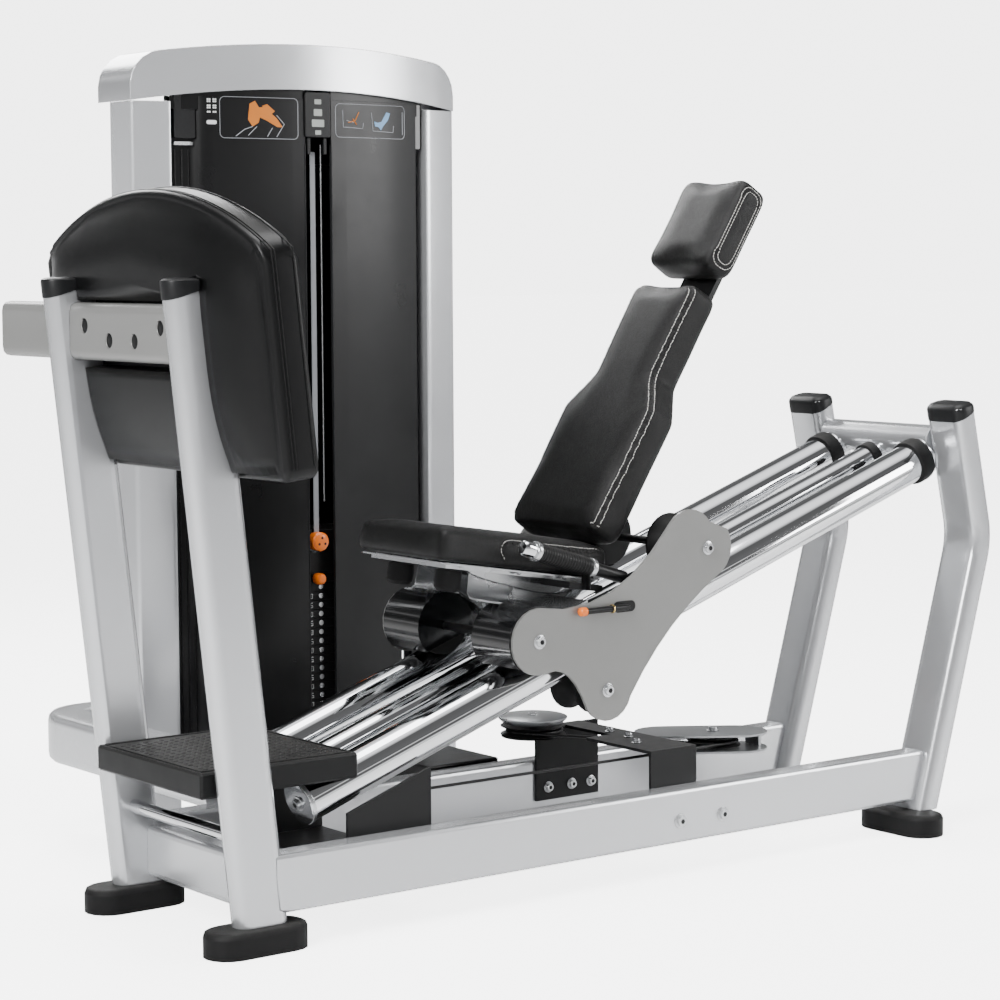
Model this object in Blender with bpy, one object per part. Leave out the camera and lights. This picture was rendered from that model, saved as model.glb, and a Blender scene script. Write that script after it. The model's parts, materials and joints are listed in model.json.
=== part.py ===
"""Seated leg press machine: a carriage on inclined guide tubes and a weight tower beside it.

Metres, +Z up.  +X runs from the foot platform to the rear uprights, +Y runs to the weight tower.
Sizes below are in the machine's layout, whose zero is on the floor between the front feet.  The
finished assembly is moved so that its origin is on the floor under the middle of its box.
"""
import math

import bmesh
import bpy
from mathutils import Matrix, Vector

# Running and resting gaps between separate pieces
touch_gap = 0.0003
loose_gap = 0.0015

# Side frames
side_offset = 0.205          # middle of each side frame from the machine's mid-plane
rail_width = 0.051
rail_height = 0.102
rail_bottom = 0.062
post_depth = 0.102
post_width = 0.051
post_foot_x = 0.0
post_top_x = -0.1184
post_top_z = 1.135
upright_depth = 0.055
upright_width = 0.100
upright_foot_x = 1.580
upright_bend_x = 1.735
upright_bend_z = 0.590
upright_bend_radius = 0.16
upright_top_x = 1.6764
upright_top_z = 0.862
foot_length = 0.195
foot_width = 0.090
foot_height = 0.045
foot_edge = 0.010
front_foot_shift = 0.008       # a foot's middle in front of its post's middle line
rear_foot_shift = 0.033
cross_member_radius = 0.0325
cross_member_z = 0.7875
base_tube_x = 0.030
base_tube_size = (0.050, 0.094)
base_tube_z = 0.103

# Cross bar behind the foot platform
cross_bar_z = 1.046
cross_bar_height = 0.100
cross_bar_depth = 0.046
cross_bar_overhang = 0.436
cross_bar_hole_radius = 0.0135
cross_bar_hole_depth = 0.006

# Inclined guide tubes
incline = math.radians(19.0)
guide_start_x = 0.168
guide_start_z = 0.237
guide_inset = 0.075            # from the middle of a side frame in to a guide tube
guide_offset = side_offset - guide_inset
guide_radius = 0.0405
guide_low_end = -0.040
guide_high_end = 1.610
centre_tube_radius = 0.0275
centre_tube_low_end = 0.080
guide_trim = 0.006             # the tubes end this far in front of the cross member's middle

# Foot platform
platform_half_width = 0.370
platform_thickness = 0.066
platform_bottom_z = 0.806
platform_side_z = 1.183
platform_top_z = 1.287
platform_back_x = -0.063     # back face at the height of the cross bar
platform_corner = 0.022
platform_edge = 0.010
platform_bulge = 0.048         # how far the back swells over the posts
platform_bulge_foot = 0.021    # swelling left at the platform's bottom
platform_bulge_reach = 0.350   # where the swelling has faded out, from the mid-plane
bar_recess = 0.010             # gap round the cross bar in the swollen back

# Step between the front posts
step_front_x = -0.095
step_rear_x = 0.225
step_top_z = 0.310
step_depth = 0.045
step_wall = 0.005
step_clearance = 0.0015

# Carriage, in distances along (s) and square to (n) the guide tubes
side_plate_thickness = 0.006
side_plate_stand = 0.075       # from a guide tube out to the side plate's outer face
side_plate_face = guide_offset + side_plate_stand
front_axle = (0.492, 0.080)
rear_axle = (0.925, 0.083)
lower_axle = (0.610, -0.0715)
axle_radius = 0.008
roller_half_width = 0.034
roller_rim = 0.004
roller_clearance = 0.0014
hood_radius = 0.0650
hood_wall = 0.005
hood_reach = 0.046             # from a guide tube in to the hood's inner face
hood_inner_face = guide_offset - hood_reach
carriage_beam = (0.575, 0.625, 0.066, 0.104)

# Seat
seat_half_width = 0.1375
seat_front_x = 0.432
seat_top_z = 0.688
seat_length = 0.400
seat_thickness = 0.062
seat_tilt = math.radians(-9.0)
pan_thickness = 0.010
pan_half_width = 0.118
pan_inset = 0.030
back_tilt = math.radians(57.3)
back_foot = (0.850, 0.618)
back_board = 0.012
back_thickness = 0.062
back_length = 0.555
back_low_half_width = 0.138
back_high_half_width = 0.095
back_shoulder = (0.270, 0.345)
headrest_start = 0.592
headrest_length = 0.205
headrest_half_width = 0.098
cushion_edge = 0.014
bracket_half_width = 0.050
bracket_thickness = 0.012
bracket_clearance = 0.0015
handle_offset = 0.175
handle_front = (0.590, 0.645)
handle_rear = (0.835, 0.570)
handle_radius = 0.0140
grip_radius = 0.0165
lever_pivot = (0.803, 0.521)
lever_length = 0.108
lever_radius = 0.0065
lever_stand = 0.009            # lever's middle line outside the side plate
lever_face = side_plate_face + lever_stand

# Tower
tower_middle_x = 0.698
tower_half_width = 0.398
tower_front_y = 0.665
tower_front_radius = 1.70
tower_upright_width = 0.087
tower_upright_depth = 0.100
tower_cap_depth = 0.130
cap_bottom_end_z = 1.485
cap_bottom_rise = 0.030
cap_height = 0.092
cap_top_rise = 0.030
cap_corner = 0.060
shroud_inset = 0.012
shroud_wall = 0.008
shroud_bottom_z = 0.060
recess_width = 0.066
recess_depth = 0.020
slot_left_x = 0.690
slot_right_x = 0.755
rear_shroud_back_y = 0.870
rear_shroud_front_y = 0.822
rear_shroud_wall = 0.006
rear_shroud_bottom_z = 0.262
rear_shroud_drop = 0.020
base_frame_x = 0.205
base_frame_back_y = 0.895
base_frame_right_x = 1.050
base_frame_width = 0.090
base_frame_z = 0.200
base_frame_bend = 0.080
cover_left_x = 0.670
cover_right_x = 0.845
cover_top_z = 0.170
cover_wall = 0.004

# Weight stack
stack_x = 0.720
stack_y = 0.766
plate_width = 0.380
plate_depth = 0.120
plate_pitch = 0.0192
plate_groove = 0.0012
plate_count = 20
stack_bottom_z = 0.1045
guide_rod_offset = 0.100
guide_rod_radius = 0.010
rod_clearance = 0.002
rod_plate_drop = 0.119         # from the cap's underside to the plate that holds the rods' top ends
rod_plate_z = cap_bottom_end_z - rod_plate_drop
stem_radius = 0.011
head_height = 0.090
dial_radius = 0.020
dial_rise = 0.0693             # middle of the dial above the head plate's underside
knob_radius = 0.012

# Pulleys: centre, axis, radius at the cable's middle
cable_radius = 0.003
pulley_half_width = 0.009
pulley_lip = 0.007
pulley_bore = 0.0063
pin_radius = 0.006
front_pulley = ((0.880, side_offset - 0.040, 0.232), "z", 0.058)
rear_pulley = ((1.150, -0.070, 0.213), "z", 0.048)
low_pulley = ((0.950, 0.762, 0.275), "x", 0.034)
top_pulley_radius = 0.035
top_pulley_drop = 0.060        # below the cap's underside at the tower's sides
top_pulley_z = cap_bottom_end_z - top_pulley_drop
side_pulley = ((low_pulley[0][0] - top_pulley_radius, stack_y, top_pulley_z), "y", top_pulley_radius)
top_pulley = ((stack_x + top_pulley_radius, stack_y, top_pulley_z), "y", top_pulley_radius)
bracket_plate = 0.006
hanger_plate = 0.005
hanger_margin = 0.020
bracket_front_x = 0.895
bracket_rear_x = 1.010
bracket_top_z = 0.234
cable_slot = (0.060, 0.150)   # depth from the plate's front edge, reach from the front pulley's middle
cable_return_x = 0.420       # front end of the cable's run under the centre tube

finishes = {
    "silver": ((0.62, 0.63, 0.64), 0.75, 0.34),
    "chrome": ((0.80, 0.80, 0.80), 1.0, 0.08),
    "plate_grey": ((0.36, 0.36, 0.35), 0.35, 0.48),
    "black_steel": ((0.035, 0.036, 0.038), 0.30, 0.42),
    "moulded_black": ((0.020, 0.021, 0.022), 0.0, 0.45),
    "shroud": ((0.030, 0.031, 0.034), 0.0, 0.38),
    "hood": ((0.045, 0.046, 0.050), 0.2, 0.18),
    "rubber": ((0.015, 0.015, 0.016), 0.0, 0.75),
    "leather": ((0.022, 0.021, 0.021), 0.0, 0.50),
    "orange": ((0.90, 0.36, 0.03), 0.0, 0.40),
    "zinc": ((0.55, 0.55, 0.54), 0.9, 0.38),
    "cable": ((0.05, 0.05, 0.05), 0.4, 0.40),
}

slide_way = Vector((math.cos(incline), 0.0, math.sin(incline)))
slide_up = Vector((-math.sin(incline), 0.0, math.cos(incline)))


def slide_point(s, n):
    """Place in X and Z of a point s along and n above the guide tubes' middle line."""
    x = guide_start_x + s * slide_way.x + n * slide_up.x
    z = guide_start_z + s * slide_way.z + n * slide_up.z
    return x, z


# ---------------------------------------------------------------- outlines

def arc(centre, radius, start, end, steps):
    """Points on an arc between two angles in degrees, both ends included."""
    points = []
    for i in range(steps + 1):
        angle = math.radians(start + (end - start) * i / steps)
        points.append((centre[0] + radius * math.cos(angle), centre[1] + radius * math.sin(angle)))
    return points


def circle(centre, radius, steps=24):
    return arc(centre, radius, 0.0, 360.0, steps)[:-1]


def obround(length, width, steps=8):
    """Outline of a flat-sided tube: two straight sides and two half-round ends along the first axis."""
    reach = (length - width) / 2
    outline = arc((reach, 0), width / 2, -90, 90, steps)
    outline += arc((-reach, 0), width / 2, 90, 270, steps)
    return outline


def rounded(corners, radius, steps=4):
    """Outline with every corner of a polygon rounded."""
    outline = []
    for i, corner in enumerate(corners):
        here = Vector(corner)
        before = (Vector(corners[i - 1]) - here)
        after = (Vector(corners[(i + 1) % len(corners)]) - here)
        half = before.angle(after) / 2
        cut = min(radius / math.tan(half), before.length * 0.49, after.length * 0.49)
        start = here + before.normalized() * cut
        end = here + after.normalized() * cut
        for k in range(steps + 1):
            t = k / steps
            point = start * (1 - t) ** 2 + here * 2 * t * (1 - t) + end * t ** 2
            outline.append((point.x, point.y))
    return outline


def rectangle(width, height, radius, steps=3):
    w, h = width / 2, height / 2
    return rounded([(w, -h), (w, h), (-w, h), (-w, -h)], radius, steps)


def smooth_path(points, steps=6):
    """Catmull-Rom curve through a few hand-set points."""
    points = [Vector(p) for p in points]
    ends = [2 * points[0] - points[1]] + points + [2 * points[-1] - points[-2]]
    path = []
    for i in range(1, len(ends) - 2):
        a, b, c, d = ends[i - 1:i + 3]
        for k in range(steps):
            t = k / steps
            path.append(0.5 * (2 * b + (c - a) * t + (2 * a - 5 * b + 4 * c - d) * t * t
                               + (3 * b - a - 3 * c + d) * t ** 3))
    path.append(points[-1])
    return path


def bent_path(start, corner, end, radius, steps=8):
    """Straight run, a round bend at the corner, and a second straight run."""
    start, corner, end = Vector(start), Vector(corner), Vector(end)
    before = (start - corner).normalized()
    after = (end - corner).normalized()
    half = before.angle(after) / 2
    cut = radius / math.tan(half)
    centre = corner + (before + after).normalized() * (radius / math.sin(half))
    first = (corner + before * cut - centre).normalized()
    last = (corner + after * cut - centre).normalized()
    path = [start]
    for k in range(steps + 1):
        path.append(centre + first.slerp(last, k / steps) * radius)
    path.append(end)
    return path


# ---------------------------------------------------------------- solids

def place_in(axis, u, v, w):
    """A point from its two outline values and its place along the axis."""
    if axis == "x":
        return Vector((w, u, v))
    if axis == "y":
        return Vector((u, w, v))
    return Vector((u, v, w))


def loft(rings):
    """Closed solid through rings that have the same number of points."""
    bm = bmesh.new()
    loops = []
    for ring in rings:
        loops.append([bm.verts.new(p) for p in ring])
    count = len(loops[0])
    for low, high in zip(loops, loops[1:]):
        for i in range(count):
            k = (i + 1) % count
            bm.faces.new((low[i], low[k], high[k], high[i]))
    bm.faces.new(list(reversed(loops[0])))
    bm.faces.new(loops[-1])
    bmesh.ops.recalc_face_normals(bm, faces=bm.faces)
    return bm


def prism(outline, axis, low, high):
    """Flat outline extruded along an axis."""
    return loft([[place_in(axis, u, v, low) for u, v in outline],
                 [place_in(axis, u, v, high) for u, v in outline]])


def box(low, high):
    outline = [(low[0], low[1]), (high[0], low[1]), (high[0], high[1]), (low[0], high[1])]
    return prism(outline, "z", low[2], high[2])


def sweep(path, section, side):
    """Section carried along a path; its first axis is square to side, its second lies along side."""
    path = [Vector(p) for p in path]
    side = Vector(side)
    rings = []
    for i, point in enumerate(path):
        before = (point - path[i - 1]).normalized() if i > 0 else None
        after = (path[i + 1] - point).normalized() if i < len(path) - 1 else None
        along = ((before or after) + (after or before)).normalized()
        across = along.cross(side).normalized()
        stretch = 1.0 / max(0.5, along.dot(before or after))
        rings.append([point + across * (u * stretch) + side * v for u, v in section])
    return loft(rings)


def turned(profile, centre, axis, steps=24):
    """Solid of revolution from (radius, height) pairs, closed flat at both ends."""
    rings = []
    for radius, height in profile:
        rings.append([Vector(centre) + place_in(axis, radius * math.cos(a), radius * math.sin(a), height)
                      for a in (2 * math.pi * k / steps for k in range(steps))])
    return loft(rings)


def rod(start, end, profile, steps=20):
    """Turned solid whose profile heights run from start towards end."""
    start, end = Vector(start), Vector(end)
    bm = turned(profile, (0, 0, 0), "z", steps)
    turn = (end - start).to_track_quat("Z", "Y").to_matrix().to_4x4()
    bmesh.ops.transform(bm, matrix=Matrix.Translation(start) @ turn, verts=bm.verts)
    return bm


def leaning(bm, pivot, angle):
    """Turn a solid about a Y line through the pivot (X, Z); a positive angle lifts its +X end."""
    centre = Vector((pivot[0], 0.0, pivot[1]))
    turn = Matrix.Translation(centre) @ Matrix.Rotation(-angle, 4, "Y")
    bmesh.ops.transform(bm, matrix=turn, verts=bm.verts)
    return bm


# ---------------------------------------------------------------- scene objects

bodies = {}
parts = []


def clear_scene():
    for thing in list(bpy.data.objects):
        bpy.data.objects.remove(thing)


def add_body(name, parent, at):
    """Empty on a moving body's joint axis, in layout coordinates."""
    empty = bpy.data.objects.new(name, None)
    empty.empty_display_size = 0.05
    bpy.context.collection.objects.link(empty)
    at = Vector(at)
    if parent:
        empty.parent = bodies[parent][0]
        empty.location = at - bodies[parent][1]
    bodies[name] = (empty, at)


def paint(name, finish):
    colour, metallic, roughness = finishes[finish]
    material = bpy.data.materials.new(name + "_finish")
    material.use_nodes = True
    shader = material.node_tree.nodes["Principled BSDF"]
    shader.inputs["Base Color"].default_value = (*colour, 1.0)
    shader.inputs["Metallic"].default_value = metallic
    shader.inputs["Roughness"].default_value = roughness
    return material


def to_object(name, bm, body):
    bmesh.ops.translate(bm, vec=-bodies[body][1], verts=bm.verts)
    mesh = bpy.data.meshes.new(name)
    bm.to_mesh(mesh)
    bm.free()
    thing = bpy.data.objects.new(name, mesh)
    bpy.context.collection.objects.link(thing)
    thing.parent = bodies[body][0]
    return thing


def add_part(name, bm, finish, body="frame"):
    part = to_object(name, bm, body)
    part.data.shade_smooth()
    part.data.set_sharp_from_angle(angle=math.radians(35))
    part.data.materials.append(paint(name, finish))
    parts.append((part, body))
    return part


def combine(part, bm, operation):
    """Boolean with a hidden tool that stays in the same body as the part."""
    body = next(b for p, b in parts if p == part)
    tool = to_object(part.name + "_tool", bm, body)
    tool.hide_render = True
    tool.display_type = "WIRE"
    change = part.modifiers.new(operation.lower(), "BOOLEAN")
    change.operation = operation
    change.solver = "EXACT"
    change.object = tool


def cut(part, bm):
    combine(part, bm, "DIFFERENCE")


def weld(part, bm):
    combine(part, bm, "UNION")


def soften(part, width, segments=2):
    bevel = part.modifiers.new("soft_edges", "BEVEL")
    bevel.width = width
    bevel.segments = segments
    bevel.limit_method = "ANGLE"
    bevel.angle_limit = math.radians(40)


sides = (("near", -1), ("far", 1))


# ---------------------------------------------------------------- main frame

def post_axis(z):
    """X of the front posts' middle line at a height."""
    share = (z - foot_height) / (post_top_z - foot_height)
    return post_foot_x + (post_top_x - post_foot_x) * share


post_lean = math.atan2(post_foot_x - post_top_x, post_top_z - foot_height)


def post_solid(y, extra):
    """A leaning obround post, grown all round by extra."""
    section = obround((post_depth + 2 * extra) / math.cos(post_lean), post_width + 2 * extra)
    rings = []
    for z in (foot_height + touch_gap - extra, post_top_z + extra):
        rings.append([Vector((post_axis(z) + u, y + v, z)) for u, v in section])
    return loft(rings)


def upright_path(y):
    lean = (upright_bend_x - upright_foot_x) / (upright_bend_z - foot_height)
    start = (upright_foot_x - lean * upright_depth / 2, y, foot_height - upright_depth / 2)
    return bent_path(start, (upright_bend_x, y, upright_bend_z), (upright_top_x, y, upright_top_z),
                     upright_bend_radius)


def upright_solid(y, extra):
    section = rectangle(upright_depth + 2 * extra, upright_width + 2 * extra, 0.022, 3)
    return sweep(upright_path(y), section, (0, 1, 0))


def floor_trim(part, x, y):
    """Level the lower end of a leaning member just above its foot."""
    reach = 0.15
    cut(part, box((x - reach, y - reach, -reach), (x + reach, y + reach, foot_height + touch_gap)))


def foot_solid(x, y, length, width):
    def ring(shrink, z):
        outline = obround(max(length, width) - 2 * shrink, min(length, width) - 2 * shrink, 8)
        if width > length:
            outline = [(-v, u) for u, v in outline]
        return [Vector((x + u, y + v, z)) for u, v in outline]
    return loft([ring(0, 0), ring(0, foot_height - foot_edge), ring(foot_edge * 0.3, foot_height - 0.003),
                 ring(foot_edge, foot_height)])


def cross_member_x():
    """Middle of the rear uprights at the cross member's height."""
    share = (cross_member_z - upright_bend_z) / (upright_top_z - upright_bend_z)
    return upright_bend_x + (upright_top_x - upright_bend_x) * share


def build_side_frames():
    rail_rear_x = upright_foot_x + (upright_bend_x - upright_foot_x) * 0.25
    for side, sign in sides:
        y = sign * side_offset
        post = add_part(side + "_front_post", post_solid(y, 0), "silver")
        if sign > 0:
            cut(post, cross_bar_solid(touch_gap))
        upright = add_part(side + "_rear_upright", upright_solid(y, 0), "silver")
        floor_trim(upright, upright_foot_x, y)
        rail = add_part(side + "_lower_rail", box(
            (post_foot_x, y - rail_width / 2, rail_bottom),
            (rail_rear_x, y + rail_width / 2, rail_bottom + rail_height)), "silver")
        soften(rail, 0.007)
        cut(rail, post_solid(y, touch_gap))
        cut(rail, upright_solid(y, touch_gap))
        cut(rail, box((-0.2, y - rail_width, 0), (post_foot_x + 0.02, y + rail_width, 0.3)))
        cut(rail, box((upright_foot_x, y - rail_width, 0), (rail_rear_x + 0.1, y + rail_width, 0.3)))
        front_foot = foot_solid(post_foot_x - front_foot_shift, y, foot_length, foot_width)
        add_part(side + "_front_foot", front_foot, "rubber")
        rear_foot = foot_solid(upright_foot_x - rear_foot_shift, y, foot_width, foot_length)
        add_part(side + "_rear_foot", rear_foot, "rubber")


def cross_bar_solid(extra):
    inner = side_offset - post_width / 2
    x = post_axis(cross_bar_z)
    start = -inner + touch_gap - extra
    end = cross_bar_overhang + extra
    outline = rectangle(cross_bar_depth + 2 * extra, cross_bar_height + 2 * extra, 0.018)
    bm = prism(outline, "y", start, end)
    bmesh.ops.translate(bm, vec=(x, 0, cross_bar_z), verts=bm.verts)
    return bm


def build_cross_pieces():
    inner = side_offset - post_width / 2 - touch_gap
    bar = add_part("front_cross_bar", cross_bar_solid(0), "plate_grey")
    front_face = post_axis(cross_bar_z) - cross_bar_depth / 2
    for share, lift in ((-0.72, 0.010), (-0.24, -0.014), (0.24, -0.014), (0.72, 0.010)):
        hole = circle((share * inner, cross_bar_z + lift), cross_bar_hole_radius, 16)
        cut(bar, prism(hole, "x", front_face - 0.01, front_face + cross_bar_hole_depth))
    width, height = base_tube_size
    span = side_offset - min(post_width, rail_width) / 2 - touch_gap
    outline = rectangle(width, height, 0.012)
    outline = [(base_tube_x + x, base_tube_z + z) for x, z in outline]
    tube = add_part("front_base_tube", prism(outline, "y", -span, span), "silver")
    for side, sign in sides:
        cut(tube, post_solid(sign * side_offset, touch_gap / 2))
    reach = side_offset - upright_width / 2 - touch_gap
    profile = [(cross_member_radius, -reach), (cross_member_radius, reach)]
    add_part("rear_cross_member", turned(profile, (cross_member_x(), 0, cross_member_z), "y"), "silver")


def guide_solid(y, radius, low, high):
    x0, z0 = slide_point(low, 0)
    x1, z1 = slide_point(high, 0)
    return rod((x0, y, z0), (x1, y, z1), [(radius, 0), (radius, high - low)], 32)


def build_guide_tubes():
    grown = cross_member_radius + touch_gap
    reach = side_offset

    def end_on_cross_member(tube):
        x = cross_member_x()
        cut(tube, turned([(grown, -reach), (grown, reach)], (x, 0, cross_member_z), "y"))
        behind = x - guide_trim
        cut(tube, box((behind, -side_offset, cross_member_z - side_offset),
                      (behind + side_offset, side_offset, cross_member_z + side_offset)))

    for side, sign in sides:
        solid = guide_solid(sign * guide_offset, guide_radius, guide_low_end, guide_high_end)
        tube = add_part(side + "_guide_tube", solid, "chrome")
        end_on_cross_member(tube)
        cut(tube, upright_solid(sign * side_offset, touch_gap))
    solid = guide_solid(0, centre_tube_radius, centre_tube_low_end, guide_high_end)
    end_on_cross_member(add_part("centre_tube", solid, "chrome"))


def build_rail_end_bracket():
    """Channel between the lower rails whose sloping top edge carries the guide tubes."""
    wall = 0.006
    half = side_offset - rail_width / 2 - touch_gap
    front_x, rear_x, floor_z, top_z = 0.200, 0.380, 0.095, 0.300
    bm = box((front_x, -half, floor_z), (rear_x, half, top_z))
    part = add_part("rail_end_bracket", bm, "black_steel")
    cut(part, box((front_x - 0.1, -half + wall, floor_z + wall), (rear_x + 0.1, half - wall, top_z + 0.1)))
    x0, z0 = slide_point(-0.2, -guide_radius - touch_gap)
    x1, z1 = slide_point(0.6, -guide_radius - touch_gap)
    above = [(x0, z0), (x1, z1), (x1, z1 + 0.5), (x0, z1 + 0.5)]
    cut(part, prism(above, "y", -0.4, 0.4))


# ---------------------------------------------------------------- foot platform and step

def platform_rise(z):
    """Distance up the leaning platform from the cross bar's height."""
    return (z - cross_bar_z) / math.cos(post_lean)


def platform_outline():
    """Flat bottom, straight sides and one long arc over the top, in Y and height."""
    half = platform_half_width
    bottom, side, top = (platform_rise(z) for z in (platform_bottom_z, platform_side_z, platform_top_z))
    rise = top - side
    radius = (half * half + rise * rise) / (2 * rise)
    reach = math.degrees(math.asin(half / radius))
    arch = arc((0, top - radius), radius, 90 - reach, 90 + reach, 24)
    base = rounded([(half, side), (-half, side), (-half, bottom), (half, bottom)], platform_corner, 3)
    low_corners = [p for p in base if p[1] < (side + bottom) / 2]
    shoulder = platform_corner * 0.8
    arch = [p for p in arch if abs(p[0]) < half - shoulder * 0.3]
    return arch + [(-half, side - shoulder)] + low_corners + [(half, side - shoulder)]


def platform_arch(y):
    """Distance up the platform to its arched top edge at a place across it."""
    side, top = platform_rise(platform_side_z), platform_rise(platform_top_z)
    return top - (top - side) * (y / platform_half_width) ** 2


def platform_bulge_solid():
    """Swelling of the platform's back, full over the posts and fading to its rim."""
    bottom = platform_rise(platform_bottom_z) + platform_edge * 1.5
    fades = [(-1.0, -0.04), (-0.975, 0.16), (-0.945, 0.34), (-0.90, 0.56), (-0.85, 0.73), (-0.79, 0.86)]
    fades += [(-0.72, 0.94), (-0.63, 0.985), (-0.5, 1.0)]
    fades += [(0.0, 1.0)] + [(-y, share) for y, share in reversed(fades)]
    rings = []
    for across, share in fades:
        y = across * platform_bulge_reach
        top = platform_arch(y) - platform_edge
        heights = [(bottom, platform_bulge_foot), (bottom + 0.03, platform_bulge_foot * 1.38)]
        heights += [(bottom + 0.06, platform_bulge * 0.76), (bottom + 0.09, platform_bulge * 0.87)]
        heights += [(bottom + 0.12, platform_bulge * 0.945), (bottom + 0.15, platform_bulge * 0.985)]
        heights += [(bottom + 0.18, platform_bulge), (top - 0.14, platform_bulge)]
        heights += [(top - 0.115, platform_bulge * 0.97), (top - 0.09, platform_bulge * 0.88)]
        heights += [(top - 0.065, platform_bulge * 0.73), (top - 0.042, platform_bulge * 0.53)]
        heights += [(top - 0.02, platform_bulge * 0.28), (top, -platform_bulge * 0.04)]
        ring = [Vector((-swell * share, y, z)) for z, swell in heights]
        rings.append(ring + [Vector((platform_edge, y, top)), Vector((platform_edge, y, bottom))])
    return loft(rings)


def build_foot_platform():
    outline = platform_outline()
    inset = platform_edge

    def ring(x, shrink):
        scale_y = (platform_half_width - shrink) / platform_half_width
        height = platform_rise(platform_top_z) - platform_rise(platform_bottom_z)
        middle = (platform_rise(platform_top_z) + platform_rise(platform_bottom_z)) / 2
        scale_z = (height - 2 * shrink) / height
        return [Vector((x, y * scale_y, middle + (z - middle) * scale_z)) for y, z in outline]

    thick = platform_thickness
    bm = loft([ring(0, inset), ring(inset * 0.3, inset * 0.3), ring(inset, 0), ring(thick - inset, 0),
               ring(thick - inset * 0.3, inset * 0.3), ring(thick, inset)])
    leaning(bm, (platform_back_x, cross_bar_z), post_lean)
    platform = add_part("foot_platform", bm, "moulded_black")
    swelling = platform_bulge_solid()
    leaning(swelling, (platform_back_x, cross_bar_z), post_lean)
    weld(platform, swelling)
    recess_half = cross_bar_height / 2 + bar_recess
    recess = box((-2 * platform_bulge, -side_offset, -recess_half),
                 (-2 * loose_gap, side_offset, recess_half))
    leaning(recess, (platform_back_x, cross_bar_z), post_lean)
    cut(platform, recess)
    for side, sign in sides:
        cut(platform, post_solid(sign * side_offset, loose_gap))
    cut(platform, cross_bar_solid(loose_gap))


def build_step():
    inner = side_offset - post_width / 2 - step_clearance
    bottom = step_top_z - step_depth
    step = add_part("step_platform", box((step_front_x, -inner, bottom), (step_rear_x, inner, step_top_z)),
                    "moulded_black")
    soften(step, 0.004, 1)
    cut(step, box((step_front_x + step_wall, -inner + step_wall, bottom - 0.1),
                  (step_rear_x + 0.1, inner - step_wall, step_top_z - step_wall)))
    for side, sign in sides:
        cut(step, guide_solid(sign * guide_offset, guide_radius + loose_gap, guide_low_end - loose_gap,
                              guide_high_end))


# ---------------------------------------------------------------- carriage

def blend(start, control, end, steps=6):
    points = []
    for k in range(1, steps):
        t = k / steps
        points.append(tuple(a * (1 - t) ** 2 + 2 * c * t * (1 - t) + b * t * t
                            for a, c, b in zip(start, control, end)))
    return points


def side_plate_outline():
    """Lobes round the three roller axles joined by hollow curves, counter-clockwise."""
    lobes = [
        arc(lower_axle, 0.058, 195, 325, 8),
        arc(rear_axle, 0.060, -68, 15, 6),
        arc((rear_axle[0] - 0.037, rear_axle[1] + 0.030), 0.060, 15, 122, 8),
        arc(front_axle, 0.062, 72, 268, 12),
    ]
    controls = [(0.785, -0.005), None, (0.672, 0.044), (0.548, 0.014)]
    outline = []
    for i, lobe in enumerate(lobes):
        outline += lobe
        if controls[i]:
            outline += blend(lobe[-1], controls[i], lobes[(i + 1) % len(lobes)][0])
    return [slide_point(s, n) for s, n in outline]


def roller_profile(axle, inner_end):
    """Axle with two hollow rollers that hug the guide tubes."""
    distance = abs(axle[1])
    half = []
    for k in range(-3, 4):
        offset = roller_half_width * k / 3
        depth = math.sqrt(guide_radius ** 2 - offset ** 2)
        half.append((distance - depth - roller_clearance, offset))
    rim = half[0][0]
    bare = axle_radius
    roller = [(bare, -roller_half_width - roller_rim), (rim, -roller_half_width - roller_rim)]
    roller += half
    roller += [(rim, roller_half_width + roller_rim), (bare, roller_half_width + roller_rim)]
    profile = [(bare, -inner_end)]
    for centre in (-guide_offset, guide_offset):
        profile += [(r, h + centre) for r, h in roller]
    profile.append((bare, inner_end))
    return profile


def build_rollers():
    reach = side_plate_face - side_plate_thickness - touch_gap
    for name, axle in (("front", front_axle), ("rear", rear_axle), ("lower", lower_axle)):
        x, z = slide_point(*axle)
        add_part(name + "_roller_set", turned(roller_profile(axle, reach), (x, 0, z), "y", 24), "rubber",
                 name + "_rollers")


def build_side_plates():
    outline = side_plate_outline()
    for side, sign in sides:
        faces = sorted((sign * side_plate_face, sign * (side_plate_face - side_plate_thickness)))
        add_part(side + "_side_plate", prism(outline, "y", *faces), "plate_grey", "carriage")


def build_roller_hoods():
    """Hood over each front top roller with an inner cheek; open below, where the guide tube runs."""
    outer = [slide_point(*p) for p in arc(front_axle, hood_radius, -28, 208, 16)]
    hollow_arc = arc(front_axle, hood_radius - hood_wall, -40, 220, 16)
    hollow = [slide_point(*p) for p in hollow_arc]
    plate_inside = side_plate_face - side_plate_thickness - touch_gap
    for side, sign in sides:
        span = sorted((sign * hood_inner_face, sign * plate_inside))
        room = sorted((sign * (hood_inner_face + hood_wall), sign * (plate_inside + 0.01)))
        hood = add_part(side + "_roller_housing", prism(outer, "y", *span), "hood", "carriage")
        cut(hood, prism(hollow, "y", *room))
        x, z = slide_point(*front_axle)
        axle_hole = circle((x, z), axle_radius + touch_gap, 16)
        through = sorted((sign * (hood_inner_face - hood_wall), sign * (hood_inner_face + 2 * hood_wall)))
        cut(hood, prism(axle_hole, "y", *through))


def seat_local(x, z):
    """Turn seat coordinates, along and above the cushion's front underside edge, into X and Z."""
    front = (seat_front_x, seat_top_z - seat_thickness)
    return (front[0] + x * math.cos(seat_tilt) - z * math.sin(seat_tilt),
            front[1] + x * math.sin(seat_tilt) + z * math.cos(seat_tilt))


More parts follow.
